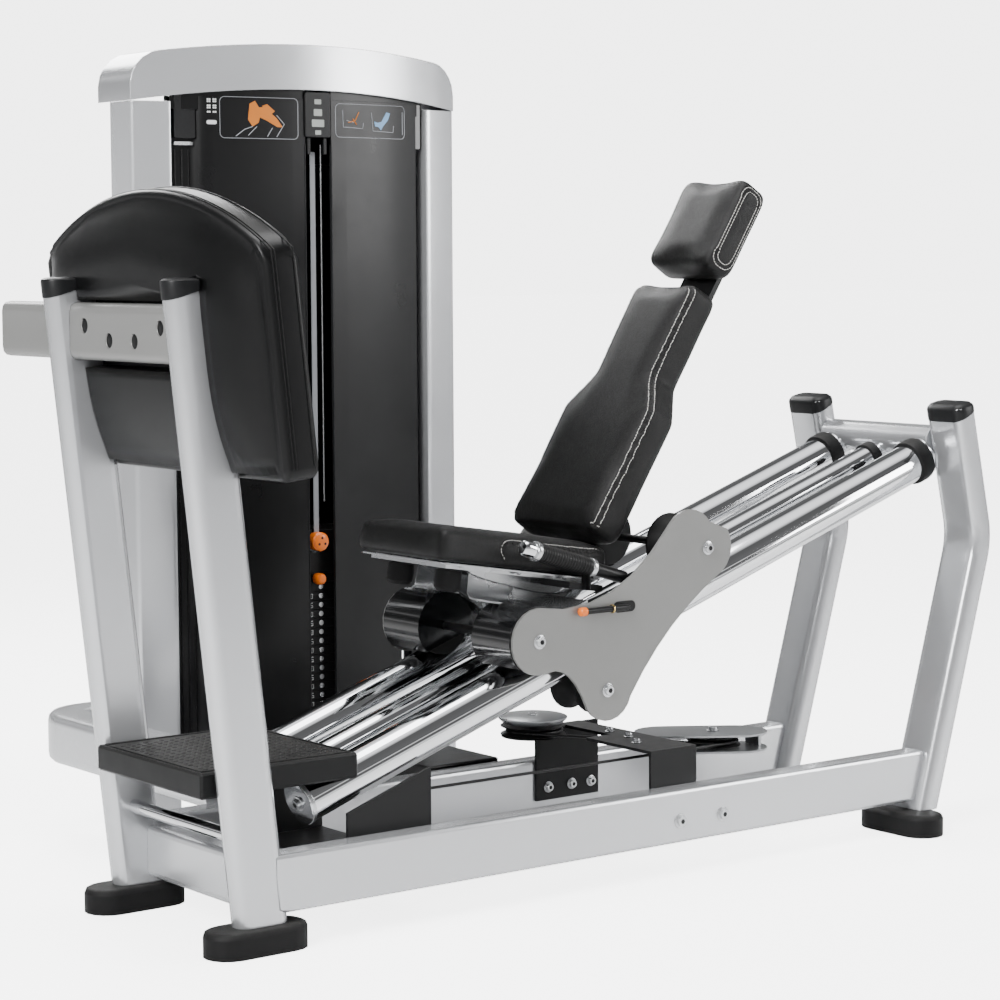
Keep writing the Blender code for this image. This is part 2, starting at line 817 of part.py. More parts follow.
def build_seat():
    corners = [(0, 0), (seat_length, 0), (seat_length, seat_thickness), (0, seat_thickness)]
    side_view = [seat_local(*p) for p in rounded(corners, 0.020, 3)]
    cushion = add_part("seat_cushion", prism(side_view, "y", -seat_half_width, seat_half_width), "leather",
                       "carriage")
    soften(cushion, cushion_edge)

    top = -touch_gap
    low = top - pan_thickness
    front, rear = pan_inset, seat_length - pan_inset
    pan = [seat_local(*p) for p in ((front, low), (rear, low), (rear, top), (front, top))]
    frame = add_part("seat_frame", prism(pan, "y", -pan_half_width, pan_half_width), "zinc", "carriage")
    reach = side_plate_face - side_plate_thickness - touch_gap
    s0, s1, n0, n1 = carriage_beam
    beam = [slide_point(*p) for p in ((s0, n0), (s1, n0), (s1, n1), (s0, n1))]
    weld(frame, prism(beam, "y", -reach, reach))
    arm_top = low + pan_thickness / 2
    arm = [seat_local(0.10, arm_top), slide_point(s0 + 0.004, n0 + 0.004), slide_point(s1 - 0.004, n0 + 0.004),
           seat_local(seat_length - 0.05, arm_top)]
    for sign in (-1, 1):
        span = sorted((sign * (bracket_half_width + 0.012), sign * (bracket_half_width + 0.024)))
        weld(frame, prism(arm, "y", *span))


def back_local(t, out):
    """X and Z of a point t up the backrest and out from its rear face towards the sitter."""
    return (back_foot[0] + t * math.cos(back_tilt) - out * math.sin(back_tilt),
            back_foot[1] + t * math.sin(back_tilt) + out * math.cos(back_tilt))


def pad_solid(outline, low, high):
    """Solid from an outline in Y and t, between two distances out from the backrest's rear face."""
    rings = []
    for out in (low, high):
        ring = []
        for y, t in outline:
            x, z = back_local(t, out)
            ring.append(Vector((x, y, z)))
        rings.append(ring)
    return loft(rings)


def build_back():
    wide, slim = back_low_half_width, back_high_half_width
    low_shoulder, high_shoulder = back_shoulder
    corners = [(-wide, 0), (wide, 0), (wide, low_shoulder), (slim, high_shoulder), (slim, back_length),
               (-slim, back_length), (-slim, high_shoulder), (-wide, low_shoulder)]
    outline = rounded(corners, 0.030, 3)
    total = back_board + back_thickness
    back = add_part("back_cushion", pad_solid(outline, 0, total), "leather", "carriage")
    soften(back, cushion_edge)
    start, end, half = headrest_start, headrest_start + headrest_length, headrest_half_width
    outline = rounded([(-half, start), (half, start), (half, end), (-half, end)], 0.030, 3)
    headrest = add_part("headrest_cushion", pad_solid(outline, 0, total), "leather", "carriage")
    soften(headrest, cushion_edge)

    drop = -pan_thickness - 2 * touch_gap - bracket_thickness / 2
    behind = -bracket_clearance - bracket_thickness / 2
    under = [seat_local(0.19, drop), seat_local(seat_length - 0.065, drop),
             seat_local(seat_length + 0.02, drop * 0.9)]
    up = [back_local(0.02, behind * 2.2), back_local(0.12, behind), back_local(0.18, behind)]
    bend = [Vector((x, 0, z)) for x, z in under + up]
    x, z = back_local(headrest_start + 0.12, behind)
    path = smooth_path(bend, 5) + [Vector((x, 0, z))]
    half, wide = bracket_thickness / 2, bracket_half_width
    section = [(-half, -wide), (half, -wide), (half, wide), (-half, wide)]
    add_part("back_bracket", sweep(path, section, (0, 1, 0)), "black_steel", "carriage")


def build_handles():
    front, rear = handle_front, handle_rear
    length = math.dist(front, rear)
    ring = 0.004
    grip_start, grip_end = 0.034, 0.165
    profile = [(handle_radius * 0.6, 0), (handle_radius, 0.005), (handle_radius, grip_start - ring),
               (grip_radius + 0.001, grip_start - ring), (grip_radius + 0.001, grip_start),
               (grip_radius, grip_start), (grip_radius, grip_end), (grip_radius + 0.001, grip_end),
               (grip_radius + 0.001, grip_end + ring), (handle_radius * 0.9, grip_end + ring),
               (handle_radius * 0.9, length - 0.004), (handle_radius * 0.6, length)]
    for side, sign in sides:
        y = sign * handle_offset
        bar = rod((front[0], y, front[1]), (rear[0], y, rear[1]), profile, 20)
        handle = add_part(side + "_handle", bar, "moulded_black", "carriage")
        top = -pan_thickness - 2 * touch_gap
        arm = [seat_local(seat_length - 0.125, top - 0.012), seat_local(seat_length - 0.045, top - 0.012),
               seat_local(seat_length - 0.045, top), seat_local(seat_length - 0.125, top)]
        weld(handle, prism(arm, "y", *sorted((sign * (bracket_half_width + 0.040), sign * handle_offset))))
        x0, z0 = seat_local(seat_length - 0.085, top - 0.006)
        share = (x0 - front[0]) / (rear[0] - front[0])
        z1 = front[1] + (rear[1] - front[1]) * share
        stud_low, stud_high = sorted((z0 - 0.004, z1))
        if stud_high - stud_low > 0.001:
            weld(handle, turned([(0.009, stud_low), (0.009, stud_high)], (x0, y, 0), "z", 16))


def build_lever():
    x, z = lever_pivot
    profile = [(lever_radius * 0.45, -0.012), (lever_radius * 0.8, -0.006), (lever_radius, 0.004),
               (lever_radius, 0.030), (lever_radius * 1.12, 0.031), (lever_radius * 1.12, 0.034),
               (lever_radius * 0.9, 0.035), (lever_radius * 0.9, lever_length - 0.016),
               (lever_radius * 1.15, lever_length - 0.015), (lever_radius * 1.15, lever_length - 0.003),
               (lever_radius * 0.7, lever_length)]
    bm = rod((x, -lever_face, z), (x - lever_length, -lever_face, z), profile, 16)
    add_part("adjust_lever", bm, "moulded_black", "lever")


# ---------------------------------------------------------------- pulleys and cable

def pulley_solid(centre, axis, radius):
    groove = radius - cable_radius - touch_gap
    rim = radius + pulley_lip
    half = pulley_half_width
    profile = [(rim, -half), (rim, -half + 0.0015), (groove, -cable_radius), (groove, cable_radius),
               (rim, half - 0.0015), (rim, half)]
    return turned(profile, centre, axis, 28)


def build_pulleys():
    for name, pulley in (("front_floor_pulley", front_pulley), ("rear_floor_pulley", rear_pulley),
                         ("tower_low_pulley", low_pulley), ("tower_side_pulley", side_pulley),
                         ("tower_top_pulley", top_pulley)):
        centre, axis, radius = pulley
        part = add_part(name, pulley_solid(centre, axis, radius), "moulded_black", name + "_turn")
        bore = [(pulley_bore, -pulley_half_width - 0.005), (pulley_bore, pulley_half_width + 0.005)]
        cut(part, turned(bore, centre, axis, 16))


def pin_profile(low, high):
    return [(pin_radius, low), (pin_radius, high)]


def build_pulley_bracket():
    """Plate bent over both lower rails; the front pulley stands on a shelf at its far leg."""
    half = side_offset - rail_width / 2 - touch_gap
    plate = bracket_plate
    leg_bottom = rail_bottom + 0.020
    bracket = add_part("pulley_bracket", box((bracket_front_x, -half, bracket_top_z - plate),
                                             (bracket_rear_x, half, bracket_top_z)), "black_steel")
    (px, py, pz), axis, radius = front_pulley
    room = radius + pulley_lip + 0.006
    for sign in (-1, 1):
        reach = bracket_rear_x + (0.045 if sign > 0 else 0)
        leg = box((bracket_front_x, min(sign * half, sign * (half - plate)), leg_bottom),
                  (reach, max(sign * half, sign * (half - plate)), bracket_top_z - 0.001))
        weld(bracket, leg)
    under = pz - pulley_half_width - 0.002
    cut(bracket, turned([(room, under), (room, pz + 0.030)], (px, py, 0), "z", 28))
    slot_depth, slot_reach = cable_slot
    cut(bracket, box((bracket_front_x - 0.01, py - slot_reach, under),
                     (bracket_front_x + slot_depth, py, pz + 0.030)))
    shelf = rounded([(px - 0.030, py - 0.03), (bracket_front_x + 0.05, py - 0.03),
                     (bracket_front_x + 0.05, py + 0.03), (px - 0.030, py + 0.03)], 0.012, 3)
    weld(bracket, prism(shelf, "z", under - plate, under))
    pin = pin_profile(under - plate / 2, pz + pulley_half_width + 0.010)
    weld(bracket, turned(pin, (px, py, 0), "z", 16))

    (px, py, pz), axis, radius = rear_pulley
    reach = radius + 0.012
    start = (bracket_rear_x + touch_gap + reach, -0.015)
    along = Vector((px - start[0], py - start[1]))
    turn = math.degrees(math.atan2(along.y, along.x))
    far = (px + along.x * 0.5, py + along.y * 0.5)
    lobe = arc(far, reach, turn - 90, turn + 90, 10) + arc(start, reach, turn + 90, turn + 270, 10)
    gap = pulley_half_width + 0.005
    housing = add_part("rear_pulley_housing", prism(lobe, "z", pz + gap, pz + gap + 0.004), "black_steel")
    weld(housing, prism(lobe, "z", pz - gap - 0.004, pz - gap))
    weld(housing, turned(pin_profile(pz - gap - 0.002, pz + gap + 0.002), (px, py, 0), "z", 16))
    weld(housing, box((far[0] + 0.040, far[1] - 0.02, pz - gap - 0.002),
                      (far[0] + 0.046, far[1] + 0.02, pz + gap + 0.002)))
    cut(housing, box((-0.1, -0.4, pz - 0.1), (bracket_rear_x + touch_gap, 0.4, pz + 0.1)))


def wrap(pulley, start, end, steps=7):
    """Cable points round a pulley between two angles in its own plane."""
    centre, axis, radius = pulley
    radius /= math.cos(math.radians((end - start) / steps / 2))
    flat = {"x": (centre[1], centre[2]), "y": (centre[0], centre[2]), "z": (centre[0], centre[1])}[axis]
    level = {"x": centre[0], "y": centre[1], "z": centre[2]}[axis]
    return [place_in(axis, u, v, level) for u, v in arc(flat, radius, start, end, steps)]


def tangent_angles(first, second):
    """Angles where a belt leaves one pulley and meets the other on the same side, seen from +Z."""
    x0, y0 = first[0][:2]
    x1, y1 = second[0][:2]
    r0, r1 = first[2], second[2]
    reach = math.hypot(x1 - x0, y1 - y0)
    way = math.degrees(math.atan2(y1 - y0, x1 - x0))
    return way + math.degrees(math.acos((r0 - r1) / reach))


def cable_points():
    """From the carriage's return, round both floor pulleys, into the tower and over its top pulleys."""
    leave = tangent_angles(rear_pulley, front_pulley)
    (x, y, z), axis, radius = rear_pulley
    start = Vector((cable_return_x, y - radius, z))
    route = [start]
    route += wrap(rear_pulley, -90, leave, 14)
    low_centre = low_pulley[0]
    front_centre, axis, front_radius = front_pulley
    entry = (low_centre[0] - front_centre[0], low_centre[1] - front_centre[1])
    way = math.degrees(math.atan2(entry[1], entry[0]))
    side = math.degrees(math.acos(front_radius / math.hypot(*entry)))
    out = way - side
    route += wrap(front_pulley, leave, out + 360, 14)
    route += wrap(low_pulley, -90, 0, 6)
    route += wrap(side_pulley, 0, 90, 6)
    route += wrap(top_pulley, 90, 180, 6)
    return route


def add_cable(name, points, body="frame"):
    """Round cable of even thickness through the points."""
    frames = []
    for i, point in enumerate(points):
        ahead = points[min(i + 1, len(points) - 1)]
        behind = points[max(i - 1, 0)]
        frames.append((point, (ahead - behind).normalized()))
    rings = []
    across = frames[0][1].orthogonal().normalized()
    for point, along in frames:
        across = (across - along * across.dot(along)).normalized()
        other = along.cross(across)
        rings.append([point + across * (cable_radius * math.cos(a)) + other * (cable_radius * math.sin(a))
                      for a in (2 * math.pi * k / 8 for k in range(8))])
    return add_part(name, loft(rings), "cable", body)


# ---------------------------------------------------------------- tower

def tower_front(x, inset=0.0):
    """Y of the bowed front of the tower at X."""
    radius = tower_front_radius - inset
    return tower_front_y + tower_front_radius - math.sqrt(radius ** 2 - (x - tower_middle_x) ** 2)


def cap_bottom(x):
    share = (x - tower_middle_x) / tower_half_width
    return cap_bottom_end_z + cap_bottom_rise * (1 - share ** 2)


def cap_top(x):
    share = (x - tower_middle_x) / tower_half_width
    edge = tower_half_width - abs(x - tower_middle_x)
    drop = 0.0
    if edge < cap_corner:
        drop = cap_corner - math.sqrt(max(0.0, cap_corner ** 2 - (cap_corner - edge) ** 2))
    return cap_bottom_end_z + cap_height + cap_top_rise * (1 - share ** 2) - drop


def spread(low, high, steps):
    return [low + (high - low) * k / steps for k in range(steps + 1)]


def build_tower_frame():
    left, right = tower_middle_x - tower_half_width, tower_middle_x + tower_half_width
    wide = tower_upright_width
    columns = {"left": (left, left + wide), "right": (right - wide, right)}
    for side, (x0, x1) in columns.items():
        middle = (x0 + x1) / 2
        back = tower_front(middle) + tower_upright_depth
        outline = rounded([(x0, tower_front(x0)), (x1, tower_front(x1)), (x1, back), (x0, back)], 0.012, 2)
        top = min(cap_bottom(x0), cap_bottom(x1)) - touch_gap
        upright = add_part("tower_" + side + "_upright", prism(outline, "z", 0, top), "silver")
        if side == "right":
            px, py, pz = low_pulley[0]
            pin = pin_profile(px - pulley_half_width - 0.004, x0 + 0.01)
            weld(upright, turned(pin, (0, py, pz), "x", 16))

    xs = [left + d for d in (0.0, 0.004, 0.012, 0.026, 0.044)]
    xs += spread(left + cap_corner, right - cap_corner, 12)
    xs += [right - d for d in (0.044, 0.026, 0.012, 0.004, 0.0)]
    rings = []
    for x in xs:
        y0, y1 = tower_front(x), tower_front(x) + tower_cap_depth
        rings.append([Vector((x, y0, cap_bottom(x))), Vector((x, y1, cap_bottom(x))),
                      Vector((x, y1, cap_top(x))), Vector((x, y0, cap_top(x)))])
    add_part("tower_cap", loft(rings), "silver")

    stub = tower_front(left + tower_upright_width / 2) + tower_upright_depth + touch_gap
    beam_front = base_frame_back_y - base_frame_width / 2
    path = bent_path((base_frame_x, side_offset + rail_width / 2 + touch_gap, base_frame_z),
                     (base_frame_x, base_frame_back_y, base_frame_z),
                     (base_frame_right_x, base_frame_back_y, base_frame_z), base_frame_bend)
    section = rectangle(base_frame_width, rail_height, 0.020)
    base = add_part("tower_base_frame", sweep(path, section, (0, 0, 1)), "silver")
    for x0, x1 in columns.values():
        weld(base, box((x0 + 0.01, stub, base_frame_z - 0.03),
                       (x1 - 0.01, beam_front + 0.02, base_frame_z + 0.03)))
    half = plate_width / 2 + 0.02
    front = stack_y - plate_depth / 2
    shelf_top = stack_bottom_z - touch_gap
    weld(base, box((stack_x - half, front, shelf_top - 0.014), (stack_x + half, beam_front + 0.03, shelf_top)))
    weld(base, box((stack_x - half, beam_front + 0.01, shelf_top - 0.014),
                   (stack_x + half, beam_front + 0.03, base_frame_z - 0.02)))


def shroud_bottom_and_top(x0, x1):
    return shroud_bottom_z, min(cap_bottom(x0), cap_bottom(x1)) - touch_gap


def build_shrouds():
    clear = 0.002
    left = tower_middle_x - tower_half_width + tower_upright_width + clear
    right = tower_middle_x + tower_half_width - tower_upright_width - clear
    outer, inner = shroud_inset, shroud_inset + shroud_wall
    sunk_outer, sunk_inner = outer + recess_depth, inner + recess_depth

    step = left + recess_width
    front = [(x, tower_front(x, sunk_outer)) for x in spread(left, step - shroud_wall, 2)]
    front += [(x, tower_front(x, outer)) for x in spread(step - shroud_wall + 0.0005, slot_left_x, 8)]
    back = [(x, tower_front(x, inner)) for x in spread(slot_left_x, step, 8)]
    back += [(x, tower_front(x, sunk_inner)) for x in spread(step - 0.0005, left, 2)]
    z0, z1 = shroud_bottom_and_top(left, slot_left_x)
    add_part("left_shroud", prism(front + back, "z", z0, z1), "shroud")

    narrow = recess_width * 0.4
    step = right - narrow
    front = [(x, tower_front(x, outer)) for x in spread(slot_right_x, step + shroud_wall - 0.0005, 6)]
    front += [(x, tower_front(x, sunk_outer)) for x in spread(step + shroud_wall, right, 2)]
    back = [(x, tower_front(x, sunk_inner)) for x in spread(right, step + 0.0005, 2)]
    back += [(x, tower_front(x, inner)) for x in spread(step, slot_right_x, 6)]
    z0, z1 = shroud_bottom_and_top(slot_right_x, right)
    shroud = add_part("right_shroud", prism(front + back, "z", z0, z1), "shroud")
    (px, py, pz), axis, radius = low_pulley
    cut(shroud, box((px - 0.014, tower_front_y, pz - radius - 0.020), (px + 0.014, py, pz + 0.05)))

    x0, x1 = left + 0.004, right - 0.004
    y0, y1, wall = rear_shroud_front_y, rear_shroud_back_y, rear_shroud_wall
    outline = [(x0, y0), (x0 + wall, y0), (x0 + wall, y1 - wall), (x1 - wall, y1 - wall), (x1 - wall, y0),
               (x1, y0), (x1, y1), (x0, y1)]
    shroud = prism(outline, "z", rear_shroud_bottom_z, cap_bottom_end_z - rear_shroud_drop)
    add_part("rear_shroud", shroud, "shroud")


def build_floor_cover():
    start = side_offset + rail_width / 2 + loose_gap
    end = tower_front_y - loose_gap
    bottom = 0.030
    outer = box((cover_left_x, start, bottom), (cover_right_x, end, cover_top_z))
    cover = add_part("floor_cable_cover", outer, "moulded_black")
    soften(cover, cover_wall)
    cut(cover, box((cover_left_x + cover_wall, start - 0.1, bottom - 0.1),
                   (cover_right_x - cover_wall, end - cover_wall, cover_top_z - cover_wall)))


def comb_outline(y0, y1, z0, pitch, count):
    """Side view of a pile of plates with a fine groove between them."""
    half = plate_groove / 2
    deep = 0.002
    front, back = [], []
    for k in range(count):
        low, high = z0 + k * pitch, z0 + (k + 1) * pitch
        if k > 0:
            front += [(y0 + deep, low), (y0, low + half)]
            back += [(y1 - deep, low), (y1, low + half)]
        else:
            front.append((y0, low))
            back.append((y1, low))
        front.append((y0, high - half if k < count - 1 else high))
        back.append((y1, high - half if k < count - 1 else high))
    return front + list(reversed(back))


def head_plate_low():
    return stack_bottom_z + plate_pitch * (plate_count + 1)


def build_weight_stack():
    x0, x1 = stack_x - plate_width / 2, stack_x + plate_width / 2
    y0, y1 = stack_y - plate_depth / 2, stack_y + plate_depth / 2
    comb = comb_outline(y0, y1, stack_bottom_z, plate_pitch, plate_count)
    pile = add_part("resting_weight_plates", prism(comb, "x", x0, x1), "black_steel")
    top_z = stack_bottom_z + plate_pitch * plate_count
    picked_low = top_z + touch_gap
    picked_high = top_z + plate_pitch - touch_gap
    slab = box((x0, y0, picked_low), (x1, y1, picked_high))
    picked = add_part("selected_weight_plate", slab, "black_steel", "weight_stack")
    head_low = head_plate_low()
    slab = box((x0, y0, head_low), (x1, y1, head_low + head_height))
    head = add_part("head_plate", slab, "black_steel", "weight_stack")
    for sign, side in ((-1, "left"), (1, "right")):
        x = stack_x + sign * guide_rod_offset
        top = rod_plate_z - touch_gap
        profile = [(guide_rod_radius, stack_bottom_z), (guide_rod_radius, top)]
        add_part(side + "_guide_rod", turned(profile, (x, stack_y, 0), "z", 20), "chrome")
        for part in (pile, picked, head):
            bore = guide_rod_radius + rod_clearance
            hole = [(bore, stack_bottom_z - 0.01), (bore, head_low + 2 * head_height)]
            cut(part, turned(hole, (x, stack_y, 0), "z", 14))
    for part in (pile, picked):
        bore = stem_radius + rod_clearance
        hole = [(bore, stack_bottom_z - 0.01), (bore, head_low + 0.01)]
        cut(part, turned(hole, (stack_x, stack_y, 0), "z", 14))
    stem = [(stem_radius, stack_bottom_z + 0.02), (stem_radius, head_low - touch_gap)]
    add_part("selector_stem", turned(stem, (stack_x, stack_y, 0), "z", 16), "zinc", "weight_stack")

    pin_z = (picked_low + picked_high) / 2
    shaft = 0.004
    pin_hole = [(shaft + 0.001, y0 - 0.01), (shaft + 0.001, stack_y)]
    cut(picked, turned(pin_hole, (stack_x, 0, pin_z), "y", 12))
    grip = y0 - 0.004
    profile = [(knob_radius * 0.8, grip - 0.026), (knob_radius, grip - 0.022), (knob_radius, grip - 0.006),
               (knob_radius * 0.6, grip), (shaft, grip), (shaft, stack_y - stem_radius - 0.001)]
    add_part("selector_pin", turned(profile, (stack_x, 0, pin_z), "y", 20), "orange", "pin")
    profile = [(dial_radius * 0.85, grip - 0.024), (dial_radius, grip - 0.021), (dial_radius, grip - 0.002),
               (dial_radius * 0.7, y0 - touch_gap)]
    dial = turned(profile, (stack_x, 0, head_plate_low() + dial_rise), "y", 24)
    add_part("increment_dial", dial, "orange", "dial")
    head_top = head_low + head_height
    cable_top = top_pulley[0][2] - loose_gap
    points = [Vector((stack_x, stack_y, z)) for z in spread(head_top + touch_gap, cable_top, 4)]
    add_cable("stack_cable", points, "weight_stack")


def build_pulley_hanger():
    """Plate under the tower's cap with the two top pulleys' pins."""
    (sx, sy, sz), axis, radius = side_pulley
    tx, tz = top_pulley[0][0], top_pulley[0][2]
    low = rod_plate_z
    x0, x1 = stack_x - guide_rod_offset - hanger_margin, sx + hanger_margin
    top = [(x, cap_bottom(x) - touch_gap) for x in spread(x1, x0, 5)]
    back = sy + pulley_half_width + 0.003
    deep = tower_front(tower_middle_x) + tower_cap_depth - back
    plate = prism([(x0, low), (x1, low)] + top, "y", back, back + min(hanger_plate, deep))
    hanger = add_part("pulley_hanger", plate, "black_steel")
    shelf_front = stack_y - guide_rod_radius - 0.010
    weld(hanger, box((x0, shelf_front, low), (x1, back + 0.002, low + 0.006)))
    cable_hole = [(cable_radius + 0.004, low - 0.01), (cable_radius + 0.004, low + 0.02)]
    cut(hanger, turned(cable_hole, (stack_x, stack_y, 0), "z", 14))
    for x, z in ((sx, sz), (tx, tz)):
        pin = pin_profile(sy - pulley_half_width - 0.003, back + 0.002)
        weld(hanger, turned(pin, (x, 0, z), "y", 16))


# ---------------------------------------------------------------- assembly

def add_bodies():
    add_body("frame", None, (0, 0, 0))
    x, z = slide_point(carriage_beam[0], 0)
    add_body("carriage", "frame", (x, 0, z))
    for name, axle in (("front", front_axle), ("rear", rear_axle), ("lower", lower_axle)):
        x, z = slide_point(*axle)
        add_body(name + "_rollers", "carriage", (x, 0, z))
    add_body("lever", "carriage", (lever_pivot[0], -lever_face, lever_pivot[1]))
    top_z = stack_bottom_z + plate_pitch * (plate_count + 0.5)
    add_body("weight_stack", "frame", (stack_x, stack_y, top_z))
    add_body("pin", "weight_stack", (stack_x, stack_y - plate_depth / 2, top_z))
    dial_place = (stack_x, stack_y - plate_depth / 2, head_plate_low() + dial_rise)
    add_body("dial", "weight_stack", dial_place)
    for name, pulley in (("front_floor_pulley", front_pulley), ("rear_floor_pulley", rear_pulley),
                         ("tower_low_pulley", low_pulley), ("tower_side_pulley", side_pulley),
                         ("tower_top_pulley", top_pulley)):
        add_body(name + "_turn", "frame", pulley[0])


def stand_on_origin():
    """Move the whole machine so that the origin is on the floor under the middle of its box."""
    bpy.context.view_layer.update()
    view = bpy.context.evaluated_depsgraph_get()
    points = []
    for part, body in parts:
        shape = part.evaluated_get(view)
        points += [shape.matrix_world @ Vector(corner) for corner in shape.bound_box]
    low = [min(p[k] for p in points) for k in range(3)]
    high = [max(p[k] for p in points) for k in range(3)]
    bodies["frame"][0].location = (-(low[0] + high[0]) / 2, -(low[1] + high[1]) / 2, -low[2])
    bpy.context.view_layer.update()


def main():
    clear_scene()
    add_bodies()
    build_side_frames()
    build_cross_pieces()
    build_guide_tubes()
    build_rail_end_bracket()
    build_foot_platform()
    build_step()
    build_side_plates()
    build_rollers()
    build_roller_hoods()
    build_seat()
    build_back()
    build_handles()
    build_lever()
    build_pulleys()
    build_pulley_bracket()
    build_tower_frame()
    build_shrouds()
    build_floor_cover()
    build_weight_stack()
    build_pulley_hanger()
    add_cable("base_cable", cable_points())
    stand_on_origin()


main()
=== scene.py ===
import bpy, bmesh, json, math
from mathutils import Matrix, Vector, kdtree, noise
from mathutils.bvhtree import BVHTree

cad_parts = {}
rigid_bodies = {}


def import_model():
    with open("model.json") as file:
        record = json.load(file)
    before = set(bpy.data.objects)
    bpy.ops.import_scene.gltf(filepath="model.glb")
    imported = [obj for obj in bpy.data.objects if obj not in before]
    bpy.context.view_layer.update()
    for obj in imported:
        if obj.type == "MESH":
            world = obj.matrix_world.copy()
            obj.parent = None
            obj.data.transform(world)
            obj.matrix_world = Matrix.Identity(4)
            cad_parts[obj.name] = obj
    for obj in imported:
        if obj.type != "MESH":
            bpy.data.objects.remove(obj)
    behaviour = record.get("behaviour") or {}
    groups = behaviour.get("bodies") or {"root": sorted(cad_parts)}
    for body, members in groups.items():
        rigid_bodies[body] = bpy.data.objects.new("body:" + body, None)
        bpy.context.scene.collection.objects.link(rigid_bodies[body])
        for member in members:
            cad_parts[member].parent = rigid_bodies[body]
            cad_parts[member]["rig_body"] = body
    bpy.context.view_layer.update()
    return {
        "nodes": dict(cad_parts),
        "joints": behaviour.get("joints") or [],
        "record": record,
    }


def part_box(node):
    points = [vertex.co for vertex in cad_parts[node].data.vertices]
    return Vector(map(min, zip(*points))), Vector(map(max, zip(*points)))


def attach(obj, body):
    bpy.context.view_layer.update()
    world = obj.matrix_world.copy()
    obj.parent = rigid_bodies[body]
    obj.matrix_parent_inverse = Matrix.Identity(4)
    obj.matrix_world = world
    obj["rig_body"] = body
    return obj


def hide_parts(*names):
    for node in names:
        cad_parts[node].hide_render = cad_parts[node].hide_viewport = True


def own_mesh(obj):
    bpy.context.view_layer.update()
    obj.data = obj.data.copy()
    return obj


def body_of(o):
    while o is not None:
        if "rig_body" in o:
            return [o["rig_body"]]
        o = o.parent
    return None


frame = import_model()
slots = {row["node"]: row["material_slot"] for row in frame["record"]["subparts"]}
nodes = frame["nodes"]

# The layout's zero is on the floor between the front feet, on the machine's mid-plane
nearFoot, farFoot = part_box("near_front_foot"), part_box("far_front_foot")
layoutX = (nearFoot[0][0] + nearFoot[1][0]) / 2 + 0.008
layoutY = (nearFoot[0][1] + farFoot[1][1]) / 2
slideWay = Vector(next(j["axis"] for j in frame["joints"] if j["name"] == "carriage_slide")).normalized()
slideUp = Vector((-slideWay.z, 0, slideWay.x))


def at(x, y, z):
    return Vector((x + layoutX, y + layoutY, z))


def onSlide(s, y, n):
    # a place s along and n above the guide tubes' middle line
    return at(0.168, y, 0.237) + slideWay * s + slideUp * n


cameraView = {"place": at(-2.4153, -4.0519, 1.1728), "yaw": 37.329, "pitch": 5.142, "roll": -0.308, "lens": 97.66}


def placeCamera(view):
    yaw, pitch, roll = (math.radians(view[k]) for k in ("yaw", "pitch", "roll"))
    ahead = Vector((math.sin(yaw) * math.cos(pitch), math.cos(yaw) * math.cos(pitch), -math.sin(pitch)))
    right = Vector((math.cos(yaw), -math.sin(yaw), 0))
    up = right.cross(ahead)
    tilted = right * math.cos(roll) + up * math.sin(roll)
    upright = up * math.cos(roll) - right * math.sin(roll)
    turn = Matrix((tilted, upright, -ahead)).transposed().to_4x4()
    data = bpy.data.cameras.new("studioCamera")
    data.lens = view["lens"]
    data.sensor_width = 36
    data.clip_end = 200
    camera = bpy.data.objects.new("studioCamera", data)
    camera.matrix_world = Matrix.Translation(view["place"]) @ turn
    bpy.context.collection.objects.link(camera)
    bpy.context.scene.camera = camera


softLights = [
    # name, place, aims at, width, height, watts
    ("keyPanel", (-4.2, -2.0, 3.4), (0.1, -0.2, 0.8), 1.6, 2.4, 330),
    ("sidePanel", (3.6, -3.4, 2.2), (0.3, -0.2, 0.6), 1.4, 2.2, 120),
    ("backPanel", (0.6, 3.2, 3.0), (0.0, 0.2, 0.9), 3.0, 1.2, 140),
    ("topPanel", (0.0, -0.4, 4.2), (0.0, 0.0, 0.0), 3.0, 2.0, 120),
]


